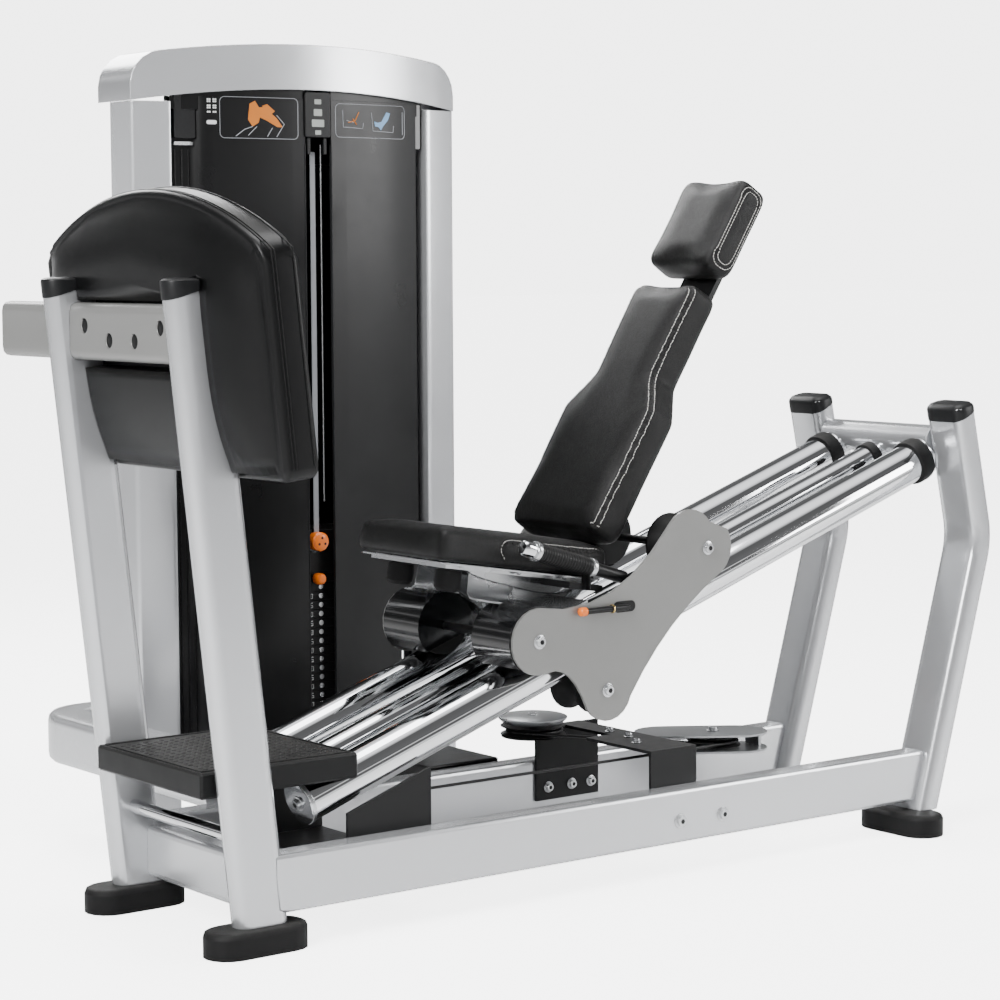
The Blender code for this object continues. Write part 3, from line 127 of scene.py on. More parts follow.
def buildStudio():
    for name, place, aim, width, height, watts in softLights:
        data = bpy.data.lights.new(name, "AREA")
        data.shape = "RECTANGLE"
        data.size, data.size_y = width, height
        data.energy = watts
        lamp = bpy.data.objects.new(name, data)
        lamp.location = place
        lamp.rotation_euler = (Vector(aim) - Vector(place)).to_track_quat("-Z", "Y").to_euler()
        bpy.context.collection.objects.link(lamp)
    world = bpy.data.worlds.new("studioWorld")
    world.use_nodes = True
    tree = world.node_tree
    background = tree.nodes["Background"]
    place = tree.nodes.new("ShaderNodeTexCoord")
    split = tree.nodes.new("ShaderNodeSeparateXYZ")
    ramp = tree.nodes.new("ShaderNodeValToRGB")
    shift = tree.nodes.new("ShaderNodeMapRange")
    shift.inputs["From Min"].default_value = -1
    tree.links.new(place.outputs["Generated"], split.inputs[0])
    tree.links.new(split.outputs["Z"], shift.inputs["Value"])
    tree.links.new(shift.outputs[0], ramp.inputs[0])
    bands = [(0.0, 1.6), (0.495, 1.7), (0.51, 0.7), (0.54, 0.10), (0.62, 0.08), (0.635, 1.1), (0.65, 0.10),
             (0.90, 0.08), (0.96, 1.0), (1.0, 1.2)]
    stops = ramp.color_ramp.elements
    while len(stops) < len(bands):
        stops.new(0.5)
    for stop, (position, grey) in zip(stops, bands):
        stop.position = position
        stop.color = (grey * 0.5, grey * 0.5, grey * 0.505, 1)
    seen = tree.nodes.new("ShaderNodeBackground")
    seen.inputs["Color"].default_value = (1, 1, 1, 1)
    seen.inputs["Strength"].default_value = 4.6
    background.inputs["Strength"].default_value = 3.4
    mixer = tree.nodes.new("ShaderNodeMixShader")
    rays = tree.nodes.new("ShaderNodeLightPath")
    tree.links.new(ramp.outputs[0], background.inputs["Color"])
    tree.links.new(rays.outputs["Is Camera Ray"], mixer.inputs[0])
    tree.links.new(background.outputs[0], mixer.inputs[1])
    tree.links.new(seen.outputs[0], mixer.inputs[2])
    tree.links.new(mixer.outputs[0], tree.nodes["World Output"].inputs[0])
    bpy.context.scene.world = world


placeCamera(cameraView)
buildStudio()
print("camera and studio ready")


def newGroup(name, inputs, outputs):
    group = bpy.data.node_groups.new(name, "ShaderNodeTree")
    for label, kind, value in inputs:
        socket = group.interface.new_socket(label, in_out="INPUT", socket_type=kind)
        if value is not None:
            socket.default_value = value
    for label, kind in outputs:
        group.interface.new_socket(label, in_out="OUTPUT", socket_type=kind)
    return group, group.nodes.new("NodeGroupInput"), group.nodes.new("NodeGroupOutput")


def mathNode(tree, operation, first, second=None):
    node = tree.nodes.new("ShaderNodeMath")
    node.operation = operation
    for socket, value in zip(node.inputs, (first, second)):
        if isinstance(value, (int, float)):
            socket.default_value = value
        elif value is not None:
            tree.links.new(value, socket)
    return node.outputs[0]


def noiseNode(tree, vector, scale, detail=4.0, roughness=0.5):
    node = tree.nodes.new("ShaderNodeTexNoise")
    node.inputs["Detail"].default_value = detail
    node.inputs["Roughness"].default_value = roughness
    tree.links.new(vector, node.inputs["Vector"])
    if isinstance(scale, (int, float)):
        node.inputs["Scale"].default_value = scale
    else:
        tree.links.new(scale, node.inputs["Scale"])
    return node.outputs["Fac"]


def buildMottle():
    # slow change of tone over a part, with a finer cloud inside it
    group, start, end = newGroup("mottle", [("Vector", "NodeSocketVector", None), ("Scale", "NodeSocketFloat", 4.0)],
                                 [("Mask", "NodeSocketFloat")])
    slow = noiseNode(group, start.outputs["Vector"], start.outputs["Scale"], 2.0)
    fine = noiseNode(group, start.outputs["Vector"], mathNode(group, "MULTIPLY", start.outputs["Scale"], 7.0), 5.0)
    blend = mathNode(group, "ADD", mathNode(group, "MULTIPLY", slow, 0.7), mathNode(group, "MULTIPLY", fine, 0.3))
    group.links.new(blend, end.inputs["Mask"])
    return group


def buildFineGrain():
    # tight stipple of paint and moulded plastic
    group, start, end = newGroup("fineGrain", [("Vector", "NodeSocketVector", None), ("Scale", "NodeSocketFloat", 900.0)],
                                 [("Height", "NodeSocketFloat")])
    cells = group.nodes.new("ShaderNodeTexVoronoi")
    group.links.new(start.outputs["Vector"], cells.inputs["Vector"])
    group.links.new(start.outputs["Scale"], cells.inputs["Scale"])
    dust = noiseNode(group, start.outputs["Vector"], mathNode(group, "MULTIPLY", start.outputs["Scale"], 1.6), 2.0)
    height = mathNode(group, "ADD", mathNode(group, "MULTIPLY", cells.outputs["Distance"], 0.6),
                      mathNode(group, "MULTIPLY", dust, 0.4))
    group.links.new(height, end.inputs["Height"])
    return group


def buildLeatherGrain():
    # pebbles with creases between them, broken up by a softer wave; a second output masks the creases for painted shade
    # in them
    group, start, end = newGroup("leatherGrain", [("Vector", "NodeSocketVector", None),
                                                  ("Scale", "NodeSocketFloat", 420.0)],
                                 [("Height", "NodeSocketFloat"), ("CreaseShade", "NodeSocketFloat")])
    warp = group.nodes.new("ShaderNodeTexNoise")
    warp.inputs["Scale"].default_value = 160.0
    group.links.new(start.outputs["Vector"], warp.inputs["Vector"])
    push = group.nodes.new("ShaderNodeVectorMath")
    push.operation = "SCALE"
    push.inputs["Scale"].default_value = 0.0016
    group.links.new(warp.outputs["Color"], push.inputs[0])
    moved = group.nodes.new("ShaderNodeVectorMath")
    group.links.new(start.outputs["Vector"], moved.inputs[0])
    group.links.new(push.outputs[0], moved.inputs[1])
    cells = group.nodes.new("ShaderNodeTexVoronoi")
    cells.feature = "DISTANCE_TO_EDGE"
    group.links.new(moved.outputs[0], cells.inputs["Vector"])
    group.links.new(start.outputs["Scale"], cells.inputs["Scale"])
    pebble = mathNode(group, "MINIMUM", mathNode(group, "MULTIPLY", cells.outputs["Distance"], 4.0), 1.0)
    wave = noiseNode(group, start.outputs["Vector"], 55.0, 3.0)
    height = mathNode(group, "ADD", mathNode(group, "MULTIPLY", pebble, 0.7), mathNode(group, "MULTIPLY", wave, 0.5))
    group.links.new(height, end.inputs["Height"])
    # mask of the creases, used to paint shade into them
    group.links.new(mathNode(group, "SUBTRACT", 1.0, pebble), end.inputs["CreaseShade"])
    return group


def buildBrushedLines():
    # long fine lines of a drawn or ground metal, along X
    group, start, end = newGroup("brushedLines", [("Vector", "NodeSocketVector", None),
                                                  ("Scale", "NodeSocketFloat", 300.0)],
                                 [("Height", "NodeSocketFloat")])
    stretch = group.nodes.new("ShaderNodeVectorMath")
    stretch.operation = "MULTIPLY"
    stretch.inputs[1].default_value = (0.03, 1.0, 1.0)
    group.links.new(start.outputs["Vector"], stretch.inputs[0])
    group.links.new(noiseNode(group, stretch.outputs[0], start.outputs["Scale"], 3.0), end.inputs["Height"])
    return group


def buildSettledDust():
    # thin pale film on faces that look up
    group, start, end = newGroup("settledDust", [("Vector", "NodeSocketVector", None)], [("Mask", "NodeSocketFloat")])
    shape = group.nodes.new("ShaderNodeNewGeometry")
    split = group.nodes.new("ShaderNodeSeparateXYZ")
    group.links.new(shape.outputs["Normal"], split.inputs[0])
    facing = mathNode(group, "POWER", mathNode(group, "MAXIMUM", split.outputs["Z"], 0.0), 3.0)
    patch = noiseNode(group, start.outputs["Vector"], 38.0, 6.0, 0.7)
    group.links.new(mathNode(group, "MULTIPLY", facing, patch), end.inputs["Mask"])
    return group


effects = {"mottle": buildMottle(), "fineGrain": buildFineGrain(), "leatherGrain": buildLeatherGrain(),
           "brushedLines": buildBrushedLines(), "settledDust": buildSettledDust()}

# what each finish looks like: two tones, metal share, roughness from and to, grain and its depth in metres
finishBook = {
    "satinSilver": dict(tone=(0.60, 0.61, 0.625), shade=(0.57, 0.58, 0.595), metal=0.70, rough=(0.20, 0.27), specular=0.5,
                        grain="fineGrain", grainScale=1500, depth=0.00002, edge=0.003, coat=0.2, dust=0.0),
    "mirrorChrome": dict(tone=(0.80, 0.81, 0.82), shade=(0.74, 0.75, 0.77), metal=1.0, rough=(0.035, 0.07),
                         grain="brushedLines", grainScale=500, depth=0.000004, edge=0.0, coat=0.0, dust=0.0),
    "plateGrey": dict(tone=(0.235, 0.235, 0.228), shade=(0.205, 0.205, 0.200), metal=0.35, rough=(0.36, 0.46), specular=0.4,
                      grain="fineGrain", grainScale=1300, depth=0.00003, edge=0.0012, coat=0.15, dust=0.02),
    "blackSteel": dict(tone=(0.0060, 0.0062, 0.0066), shade=(0.0040, 0.0042, 0.0044), metal=0.0, rough=(0.30, 0.42), specular=0.25,
                       grain="fineGrain", grainScale=1400, depth=0.00005, edge=0.0012, coat=0.0, dust=0.06),
    "steelPlate": dict(tone=(0.40, 0.41, 0.42), shade=(0.32, 0.33, 0.34), metal=0.85, rough=(0.26, 0.40),
                       grain="brushedLines", grainScale=700, depth=0.00001, edge=0.001, coat=0.0, dust=0.03),
    "mouldedBlack": dict(tone=(0.0034, 0.0035, 0.0037), shade=(0.0024, 0.0025, 0.0027), metal=0.0, rough=(0.28, 0.38), specular=0.22,
                         grain="fineGrain", grainScale=1700, depth=0.00006, edge=0.0015, coat=0.0, dust=0.05),
    "stepPlastic": dict(tone=(0.0055, 0.0057, 0.0060), shade=(0.0038, 0.0040, 0.0042), metal=0.0, rough=(0.40, 0.55), specular=0.22,
                        grain="fineGrain", grainScale=1100, depth=0.00012, edge=0.0015, coat=0.0, dust=0.10),
    "shroudPlastic": dict(tone=(0.0036, 0.0037, 0.0040), shade=(0.0026, 0.0027, 0.0030), metal=0.0, rough=(0.26, 0.36), specular=0.25,
                          grain="fineGrain", grainScale=1500, depth=0.00003, edge=0.002, coat=0.05, dust=0.02),
    "recessPlastic": dict(tone=(0.014, 0.0145, 0.0155), shade=(0.010, 0.0105, 0.0115), metal=0.0, rough=(0.38, 0.50), specular=0.25,
                          grain="fineGrain", grainScale=1500, depth=0.00004, edge=0.001, coat=0.0, dust=0.02),
    "hoodGloss": dict(tone=(0.0050, 0.0052, 0.0058), shade=(0.0038, 0.0040, 0.0044), metal=0.0, rough=(0.10, 0.17), specular=0.35,
                      grain="fineGrain", grainScale=800, depth=0.00001, edge=0.0015, coat=0.35, dust=0.02),
    "rubberBlack": dict(tone=(0.0034, 0.0034, 0.0036), shade=(0.0050, 0.0050, 0.0053), metal=0.0, rough=(0.50, 0.70), specular=0.22,
                        grain="fineGrain", grainScale=700, depth=0.00015, edge=0.002, coat=0.0, dust=0.10),
    "leatherBlack": dict(tone=(0.0028, 0.0027, 0.0028), shade=(0.0018, 0.0018, 0.0018), metal=0.0, rough=(0.34, 0.46), specular=0.30,
                         grain="leatherGrain", grainScale=430, depth=0.00035, edge=0.0, coat=0.0, dust=0.0),
    "orangePlastic": dict(tone=(0.90, 0.19, 0.004), shade=(0.80, 0.15, 0.003), metal=0.0, rough=(0.28, 0.38), specular=0.4,
                          grain="fineGrain", grainScale=1600, depth=0.00003, edge=0.0008, coat=0.2, dust=0.0),
    "zincSteel": dict(tone=(0.62, 0.63, 0.64), shade=(0.52, 0.53, 0.54), metal=0.92, rough=(0.20, 0.32),
                      grain="brushedLines", grainScale=600, depth=0.00001, edge=0.0008, coat=0.0, dust=0.0),
    "castIron": dict(tone=(0.0055, 0.0055, 0.0060), shade=(0.0080, 0.0080, 0.0086), metal=0.1, rough=(0.40, 0.56), specular=0.25,
                     grain="fineGrain", grainScale=500, depth=0.00015, edge=0.001, coat=0.0, dust=0.04),
    "cableBlack": dict(tone=(0.0050, 0.0050, 0.0053), shade=(0.0085, 0.0085, 0.0088), metal=0.0, rough=(0.30, 0.42), specular=0.3,
                       grain="brushedLines", grainScale=900, depth=0.00008, edge=0.0, coat=0.0, dust=0.0),
    "capGrey": dict(tone=(0.010, 0.0103, 0.011), shade=(0.0075, 0.0078, 0.0084), metal=0.0, rough=(0.34, 0.46), specular=0.25,
                    grain="fineGrain", grainScale=1500, depth=0.00004, edge=0.0015, coat=0.0, dust=0.03),
    "goldRing": dict(tone=(0.75, 0.55, 0.22), shade=(0.66, 0.46, 0.16), metal=1.0, rough=(0.20, 0.28),
                     grain="brushedLines", grainScale=900, depth=0.00001, edge=0.0, coat=0.0, dust=0.0),
    "threadPale": dict(tone=(0.72, 0.71, 0.68), shade=(0.60, 0.59, 0.56), metal=0.0, rough=(0.60, 0.75),
                       grain="brushedLines", grainScale=2500, depth=0.00010, edge=0.0, coat=0.0, dust=0.0),
    "printWhite": dict(tone=(0.74, 0.75, 0.75), shade=(0.66, 0.67, 0.67), metal=0.0, rough=(0.38, 0.46),
                       grain="fineGrain", grainScale=2000, depth=0.00001, edge=0.0, coat=0.0, dust=0.0),
    "printGrey": dict(tone=(0.30, 0.31, 0.33), shade=(0.25, 0.26, 0.28), metal=0.0, rough=(0.35, 0.45),
                      grain="fineGrain", grainScale=2000, depth=0.00001, edge=0.0, coat=0.0, dust=0.0),
    "printAmber": dict(tone=(0.62, 0.20, 0.020), shade=(0.46, 0.13, 0.012), metal=0.0, rough=(0.35, 0.45), specular=0.3,
                       grain="fineGrain", grainScale=2000, depth=0.00001, edge=0.0, coat=0.0, dust=0.0),
    "printBlue": dict(tone=(0.18, 0.38, 0.62), shade=(0.12, 0.28, 0.50), metal=0.0, rough=(0.35, 0.45),
                      grain="fineGrain", grainScale=2000, depth=0.00001, edge=0.0, coat=0.0, dust=0.0),
    "windowGrey": dict(tone=(0.34, 0.36, 0.34), shade=(0.28, 0.30, 0.28), metal=0.0, rough=(0.10, 0.16),
                       grain="fineGrain", grainScale=1500, depth=0.00001, edge=0.0, coat=0.8, dust=0.0),
}
materials = {}


def finish(name):
    if name in materials:
        return materials[name]
    facts = finishBook[name]
    material = bpy.data.materials.new(name)
    material.use_nodes = True
    tree = material.node_tree
    link = tree.links.new
    shader = tree.nodes["Principled BSDF"]
    place = tree.nodes.new("ShaderNodeTexCoord").outputs["Object"]
    mottle = tree.nodes.new("ShaderNodeGroup")
    mottle.node_tree = effects["mottle"]
    mottle.inputs["Scale"].default_value = 5.0
    link(place, mottle.inputs["Vector"])
    tones = tree.nodes.new("ShaderNodeMix")
    tones.data_type = "RGBA"
    tones.inputs[6].default_value = (*facts["shade"], 1)
    tones.inputs[7].default_value = (*facts["tone"], 1)
    link(mottle.outputs["Mask"], tones.inputs[0])
    colour = tones.outputs[2]
    grain = tree.nodes.new("ShaderNodeGroup")
    grain.node_tree = effects[facts["grain"]]
    grain.inputs["Scale"].default_value = facts["grainScale"]
    link(place, grain.inputs["Vector"])
    # leather darkened in the creases between pebbles: painted shade
    if "CreaseShade" in grain.outputs:
        creaseShaded = tree.nodes.new("ShaderNodeMix")
        creaseShaded.data_type = "RGBA"
        creaseShaded.inputs[7].default_value = (*[0.55 * c for c in facts["shade"]], 1)
        link(grain.outputs["CreaseShade"], creaseShaded.inputs[0])
        link(colour, creaseShaded.inputs[6])
        colour = creaseShaded.outputs[2]
    if facts["dust"] > 0:
        dust = tree.nodes.new("ShaderNodeGroup")
        dust.node_tree = effects["settledDust"]
        link(place, dust.inputs["Vector"])
        thin = mathNode(tree, "MULTIPLY", dust.outputs["Mask"], facts["dust"])
        dusted = tree.nodes.new("ShaderNodeMix")
        dusted.data_type = "RGBA"
        dusted.inputs[7].default_value = (0.42, 0.41, 0.39, 1)
        link(thin, dusted.inputs[0])
        link(colour, dusted.inputs[6])
        colour = dusted.outputs[2]
    link(colour, shader.inputs["Base Color"])
    spread = tree.nodes.new("ShaderNodeMapRange")
    spread.inputs["To Min"].default_value, spread.inputs["To Max"].default_value = facts["rough"]
    spread.inputs["From Min"].default_value, spread.inputs["From Max"].default_value = 0.3, 0.7
    link(mottle.outputs["Mask"], spread.inputs["Value"])
    link(spread.outputs[0], shader.inputs["Roughness"])
    bump = tree.nodes.new("ShaderNodeBump")
    bump.inputs["Distance"].default_value = facts["depth"]
    bump.inputs["Strength"].default_value = 1.0
    link(grain.outputs["Height"], bump.inputs["Height"])
    if facts["edge"] > 0:
        edge = tree.nodes.new("ShaderNodeBevel")
        edge.samples = 4
        edge.inputs["Radius"].default_value = facts["edge"]
        link(edge.outputs[0], bump.inputs["Normal"])
    link(bump.outputs[0], shader.inputs["Normal"])
    shader.inputs["Metallic"].default_value = facts["metal"]
    shader.inputs["Specular IOR Level"].default_value = facts.get("specular", 0.5)
    shader.inputs["Coat Weight"].default_value = facts["coat"]
    shader.inputs["Coat Roughness"].default_value = 0.12
    if name == "leatherBlack":
        shader.inputs["Sheen Weight"].default_value = 0.02
        shader.inputs["Sheen Roughness"].default_value = 0.4
    materials[name] = material
    return material


def addPiece(name, bm, finishName, body, smooth=35, subdivide=0, bevel=0.0):
    mesh = bpy.data.meshes.new(name)
    bmesh.ops.recalc_face_normals(bm, faces=bm.faces)
    bm.to_mesh(mesh)
    bm.free()
    piece = bpy.data.objects.new(name, mesh)
    bpy.context.collection.objects.link(piece)
    mesh.materials.append(finish(finishName))
    mesh.shade_smooth()
    mesh.set_sharp_from_angle(angle=math.radians(smooth))
    if bevel:
        softEdges(piece, bevel)
    if subdivide:
        extra = piece.modifiers.new("smoother", "SUBSURF")
        extra.levels = extra.render_levels = subdivide
    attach(piece, body)
    return piece


def softEdges(piece, width, segments=3):
    rim = piece.modifiers.new("softEdges", "BEVEL")
    rim.width = width
    rim.segments = segments
    rim.limit_method = "ANGLE"
    rim.angle_limit = math.radians(35)
    rim.harden_normals = True


def skin(rings, closed=True):
    bm = bmesh.new()
    loops = [[bm.verts.new(p) for p in ring] for ring in rings]
    count = len(loops[0])
    for low, high in zip(loops, loops[1:]):
        for i in range(count):
            k = (i + 1) % count
            bm.faces.new((low[i], low[k], high[k], high[i]))
    if closed:
        bm.faces.new(list(reversed(loops[0])))
        bm.faces.new(loops[-1])
    return bm


def circlePoints(radius, steps):
    return [(radius * math.cos(2 * math.pi * k / steps), radius * math.sin(2 * math.pi * k / steps))
            for k in range(steps)]


def turnedBetween(start, end, profile, steps=32):
    # solid of revolution; profile heights run from start towards end
    start, end = Vector(start), Vector(end)
    turn = (end - start).to_track_quat("Z", "Y").to_matrix()
    rings = [[start + turn @ Vector((x, y, height)) for x, y in circlePoints(radius, steps)]
             for radius, height in profile]
    return skin(rings)


def merge(parts):
    whole = bmesh.new()
    for bm in parts:
        mesh = bpy.data.meshes.new("passing")
        bm.to_mesh(mesh)
        bm.free()
        whole.from_mesh(mesh)
        bpy.data.meshes.remove(mesh)
    return whole


def obroundPoints(length, width, steps=12):
    reach = (length - width) / 2
    outline = []
    for k in range(steps + 1):
        a = math.radians(-90 + 180 * k / steps)
        outline.append((reach + width / 2 * math.cos(a), width / 2 * math.sin(a)))
    for k in range(steps + 1):
        a = math.radians(90 + 180 * k / steps)
        outline.append((-reach + width / 2 * math.cos(a), width / 2 * math.sin(a)))
    return outline


def roundedBox(width, height, radius, steps=6):
    outline = []
    for cx, cy, first in ((1, -1, -90), (1, 1, 0), (-1, 1, 90), (-1, -1, 180)):
        for k in range(steps + 1):
            a = math.radians(first + 90 * k / steps)
            outline.append((cx * (width / 2 - radius) + radius * math.cos(a),
                            cy * (height / 2 - radius) + radius * math.sin(a)))
    return outline


def hexBolt(place, way, radius=0.009):
    # socket head bolt on a washer, its face looking along way
    way = Vector(way).normalized()
    washer = turnedBetween(place, place + way, [(radius * 1.35, 0), (radius * 1.4, 0.0006), (radius * 1.4, 0.0014),
                                                (radius * 1.3, 0.0018)], 28)
    head = turnedBetween(place + way * 0.0018, place + way, [
        (radius * 0.98, 0), (radius, 0.0008), (radius, 0.0055), (radius * 0.9, 0.0066), (radius * 0.56, 0.0066)], 28)
    turn = (way).to_track_quat("Z", "Y").to_matrix()
    lip = [place + way * 0.0084 + turn @ Vector((x, y, 0)) for x, y in circlePoints(radius * 0.55, 6)]
    floor = [place + way * 0.0050 + turn @ Vector((x, y, 0)) for x, y in circlePoints(radius * 0.50, 6)]
    socket = bmesh.new()
    top = [socket.verts.new(p) for p in lip]
    low = [socket.verts.new(p) for p in floor]
    for i in range(6):
        k = (i + 1) % 6
        socket.faces.new((top[i], top[k], low[k], low[i]))
    socket.faces.new(low)
    socket.free()
    return [washer, head]


def boltRow(name, places, way, body, radius=0.009):
    parts = []
    sockets = []
    for place in places:
        parts += hexBolt(place, way, radius)
        direction = Vector(way).normalized()
        sockets.append(turnedBetween(place + direction * 0.0080, place + direction, [
            (radius * 0.54, 0), (radius * 0.54, 0.0006)], 6))
    addPiece(name, merge(parts), "zincSteel", body)
    addPiece(name + "Sockets", merge(sockets), "blackSteel", body)

# which finish each material slot and a few single nodes get
slotFinish = {
    "silver_frame": "satinSilver", "chrome_tube": "mirrorChrome", "grey_plate": "plateGrey",
    "black_steel": "blackSteel", "moulded_black": "mouldedBlack", "shroud_plastic": "shroudPlastic",
    "hood_plastic": "hoodGloss", "black_rubber": "rubberBlack", "black_leather": "leatherBlack",
    "orange_plastic": "orangePlastic", "zinc_steel": "zincSteel", "weight_iron": "castIron",
    "cable_sheath": "cableBlack"}
nodeFinish = {"step_platform": "stepPlastic", "front_cross_bar": "plateGrey", "rear_pulley_housing": "steelPlate",
              "seat_frame": "zincSteel", "back_bracket": "blackSteel"}
for nodeName, node in nodes.items():
    look = finish(nodeFinish.get(nodeName, slotFinish[slots[nodeName]]))
    for holder in node.material_slots:
        holder.material = look
print("finishes on", len(nodes), "frame nodes")

# curved frame parts shown by a twin of the same mesh with smooth shading, and the angle kept sharp
smoothNodes = {
    "foot_platform": 40, "tower_cap": 40, "near_guide_tube": 40, "far_guide_tube": 40, "centre_tube": 40,
    "left_shroud": 25, "right_shroud": 25, "near_front_post": 40, "far_front_post": 40, "near_rear_upright": 30,
    "far_rear_upright": 30, "near_roller_housing": 40, "far_roller_housing": 40, "tower_base_frame": 35,
    "rear_cross_member": 40, "front_roller_set": 50, "rear_roller_set": 50, "lower_roller_set": 50,
    "near_front_foot": 40, "far_front_foot": 40, "near_rear_foot": 40, "far_rear_foot": 40,
    "left_guide_rod": 40, "right_guide_rod": 40, "front_cross_bar": 40, "near_lower_rail": 35,
    "far_lower_rail": 35, "near_handle": 40, "far_handle": 40, "adjust_lever": 40, "front_floor_pulley": 40,
    "rear_floor_pulley": 40, "tower_low_pulley": 40, "tower_side_pulley": 40, "tower_top_pulley": 40,
    "back_bracket": 35, "base_cable": 60, "tower_left_upright": 35, "tower_right_upright": 35,
    "selector_pin": 40, "increment_dial": 40, "near_side_plate": 35, "far_side_plate": 35}


def smoothTwin(nodeName, angle):
    source = nodes[nodeName]
    bm = bmesh.new()
    bm.from_mesh(source.data)
    bmesh.ops.remove_doubles(bm, verts=bm.verts, dist=1e-6)
    bmesh.ops.dissolve_limit(bm, angle_limit=math.radians(0.4), verts=bm.verts, edges=bm.edges)
    look = nodeFinish.get(nodeName, slotFinish[slots[nodeName]])
    twin = addPiece(nodeName + "Smooth", bm, look, body_of(source)[0], smooth=angle)
    even = twin.modifiers.new("evenShading", "WEIGHTED_NORMAL")
    even.keep_sharp = True
    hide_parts(nodeName)


for nodeName, angle in smoothNodes.items():
    smoothTwin(nodeName, angle)
print("smooth twins of", len(smoothNodes), "curved parts")


def tube(points, radius, sides=8, closed=False):
    # round tube through the points, carried along without twist
    points = [Vector(p) for p in points]
    count = len(points)
    across = None
    rings = []
    for i, here in enumerate(points):
        ahead = points[(i + 1) % count] if closed or i < count - 1 else here
        behind = points[i - 1] if closed or i > 0 else here
        along = (ahead - behind).normalized()
        across = along.orthogonal() if across is None else across - along * across.dot(along)
        across.normalize()
        other = along.cross(across)
        size = radius[i] if isinstance(radius, (list, tuple)) else radius
        rings.append([here + (across * x + other * y) * size for x, y in circlePoints(1.0, sides)])
    if closed:
        rings.append(rings[0])
        bm = skin(rings, closed=False)
        bmesh.ops.remove_doubles(bm, verts=bm.verts, dist=1e-7)
        return bm
    return skin(rings)


def slab(outline, origin, u, v, low, high):
    # flat outline in the plane of u and v, between two heights along their normal
    u, v = Vector(u).normalized(), Vector(v).normalized()
    n = u.cross(v)
    return skin([[origin + u * a + v * b + n * low for a, b in outline],
                 [origin + u * a + v * b + n * high for a, b in outline]])


def dense(points, step, closed=True):
    # points no further apart than step
    result = []
    ends = list(zip(points, points[1:] + points[:1])) if closed else list(zip(points, points[1:]))
    for a, b in ends:
        a, b = Vector(a), Vector(b)
        count = max(1, math.ceil((b - a).length / step))
        result += [a.lerp(b, k / count) for k in range(count)]
    if not closed:
        result.append(Vector(points[-1]))
    return result


# places of the seat and the backrest, as the frame has them
seatFacts = {"frontX": 0.432, "topZ": 0.688, "thick": 0.062, "tilt": -9.0, "length": 0.400, "halfWidth": 0.1375}
backFacts = {"foot": (0.850, 0.618), "tilt": 57.3, "board": 0.012, "thick": 0.074, "length": 0.555,
             "wide": 0.138, "slim": 0.095, "shoulder": (0.270, 0.345),
             "headStart": 0.592, "headLength": 0.205, "headHalf": 0.098}


def onSeat(along, y, up):
    t = math.radians(seatFacts["tilt"])
    x = seatFacts["frontX"] + along * math.cos(t) - up * math.sin(t)
    return at(x, y, seatFacts["topZ"] - seatFacts["thick"] + along * math.sin(t) + up * math.cos(t))


def onBack(up, y, out):
    t = math.radians(backFacts["tilt"])
    x = backFacts["foot"][0] + up * math.cos(t) - out * math.sin(t)
    return at(x, y, backFacts["foot"][1] + up * math.sin(t) + out * math.cos(t))


# how each cushion swells, in metres, and where it is held flat
padBook = {
    "seatCushion": dict(node="seat_cushion", inset=0.0035, voxel=0.005, pressure=4.0, cap=0.007, share=0.6, calm=14,
                        flat=(onSeat(0, 0, 0), (onSeat(0, 0, 1) - onSeat(0, 0, 0)))),
    "backCushion": dict(node="back_cushion", inset=0.0035, voxel=0.005, pressure=4.0, cap=0.007, share=0.6, calm=14,
                        flat=(onBack(0, 0, 0), (onBack(0, 0, 1) - onBack(0, 0, 0)))),
    "headrestCushion": dict(node="headrest_cushion", inset=0.0035, voxel=0.005, pressure=4.5, cap=0.007, share=0.6, calm=12,
                            flat=(onBack(0, 0, 0), (onBack(0, 0, 1) - onBack(0, 0, 0)))),
}
seamDip = {"depth": 0.0026, "width": 0.0045}


def smoothMesh(piece):
    bm = bmesh.new()
    bm.from_mesh(piece.data)
    return bm


def bakeModifiers(piece):
    view = bpy.context.evaluated_depsgraph_get()
    solid = bpy.data.meshes.new_from_object(piece.evaluated_get(view))
    piece.modifiers.clear()
    piece.data = solid


def evenOut(piece, rest, facts):
    # keep a share of the swelling, averaged with its neighbours so that the leather stays taut
    bm = smoothMesh(piece)
    bm.verts.ensure_lookup_table()
    moves = []
    for v, start in zip(bm.verts, rest):
        move = (v.co - start) * facts["share"]
        moves.append(move.normalized() * min(move.length, facts["cap"]))
    for _ in range(facts["calm"]):
        moves = [(moves[v.index] + sum((moves[e.other_vert(v).index] for e in v.link_edges), Vector()))
                 / (1 + len(v.link_edges)) for v in bm.verts]
    for v, start, move in zip(bm.verts, rest, moves):
        v.co = start + move
    bm.to_mesh(piece.data)
    bm.free()


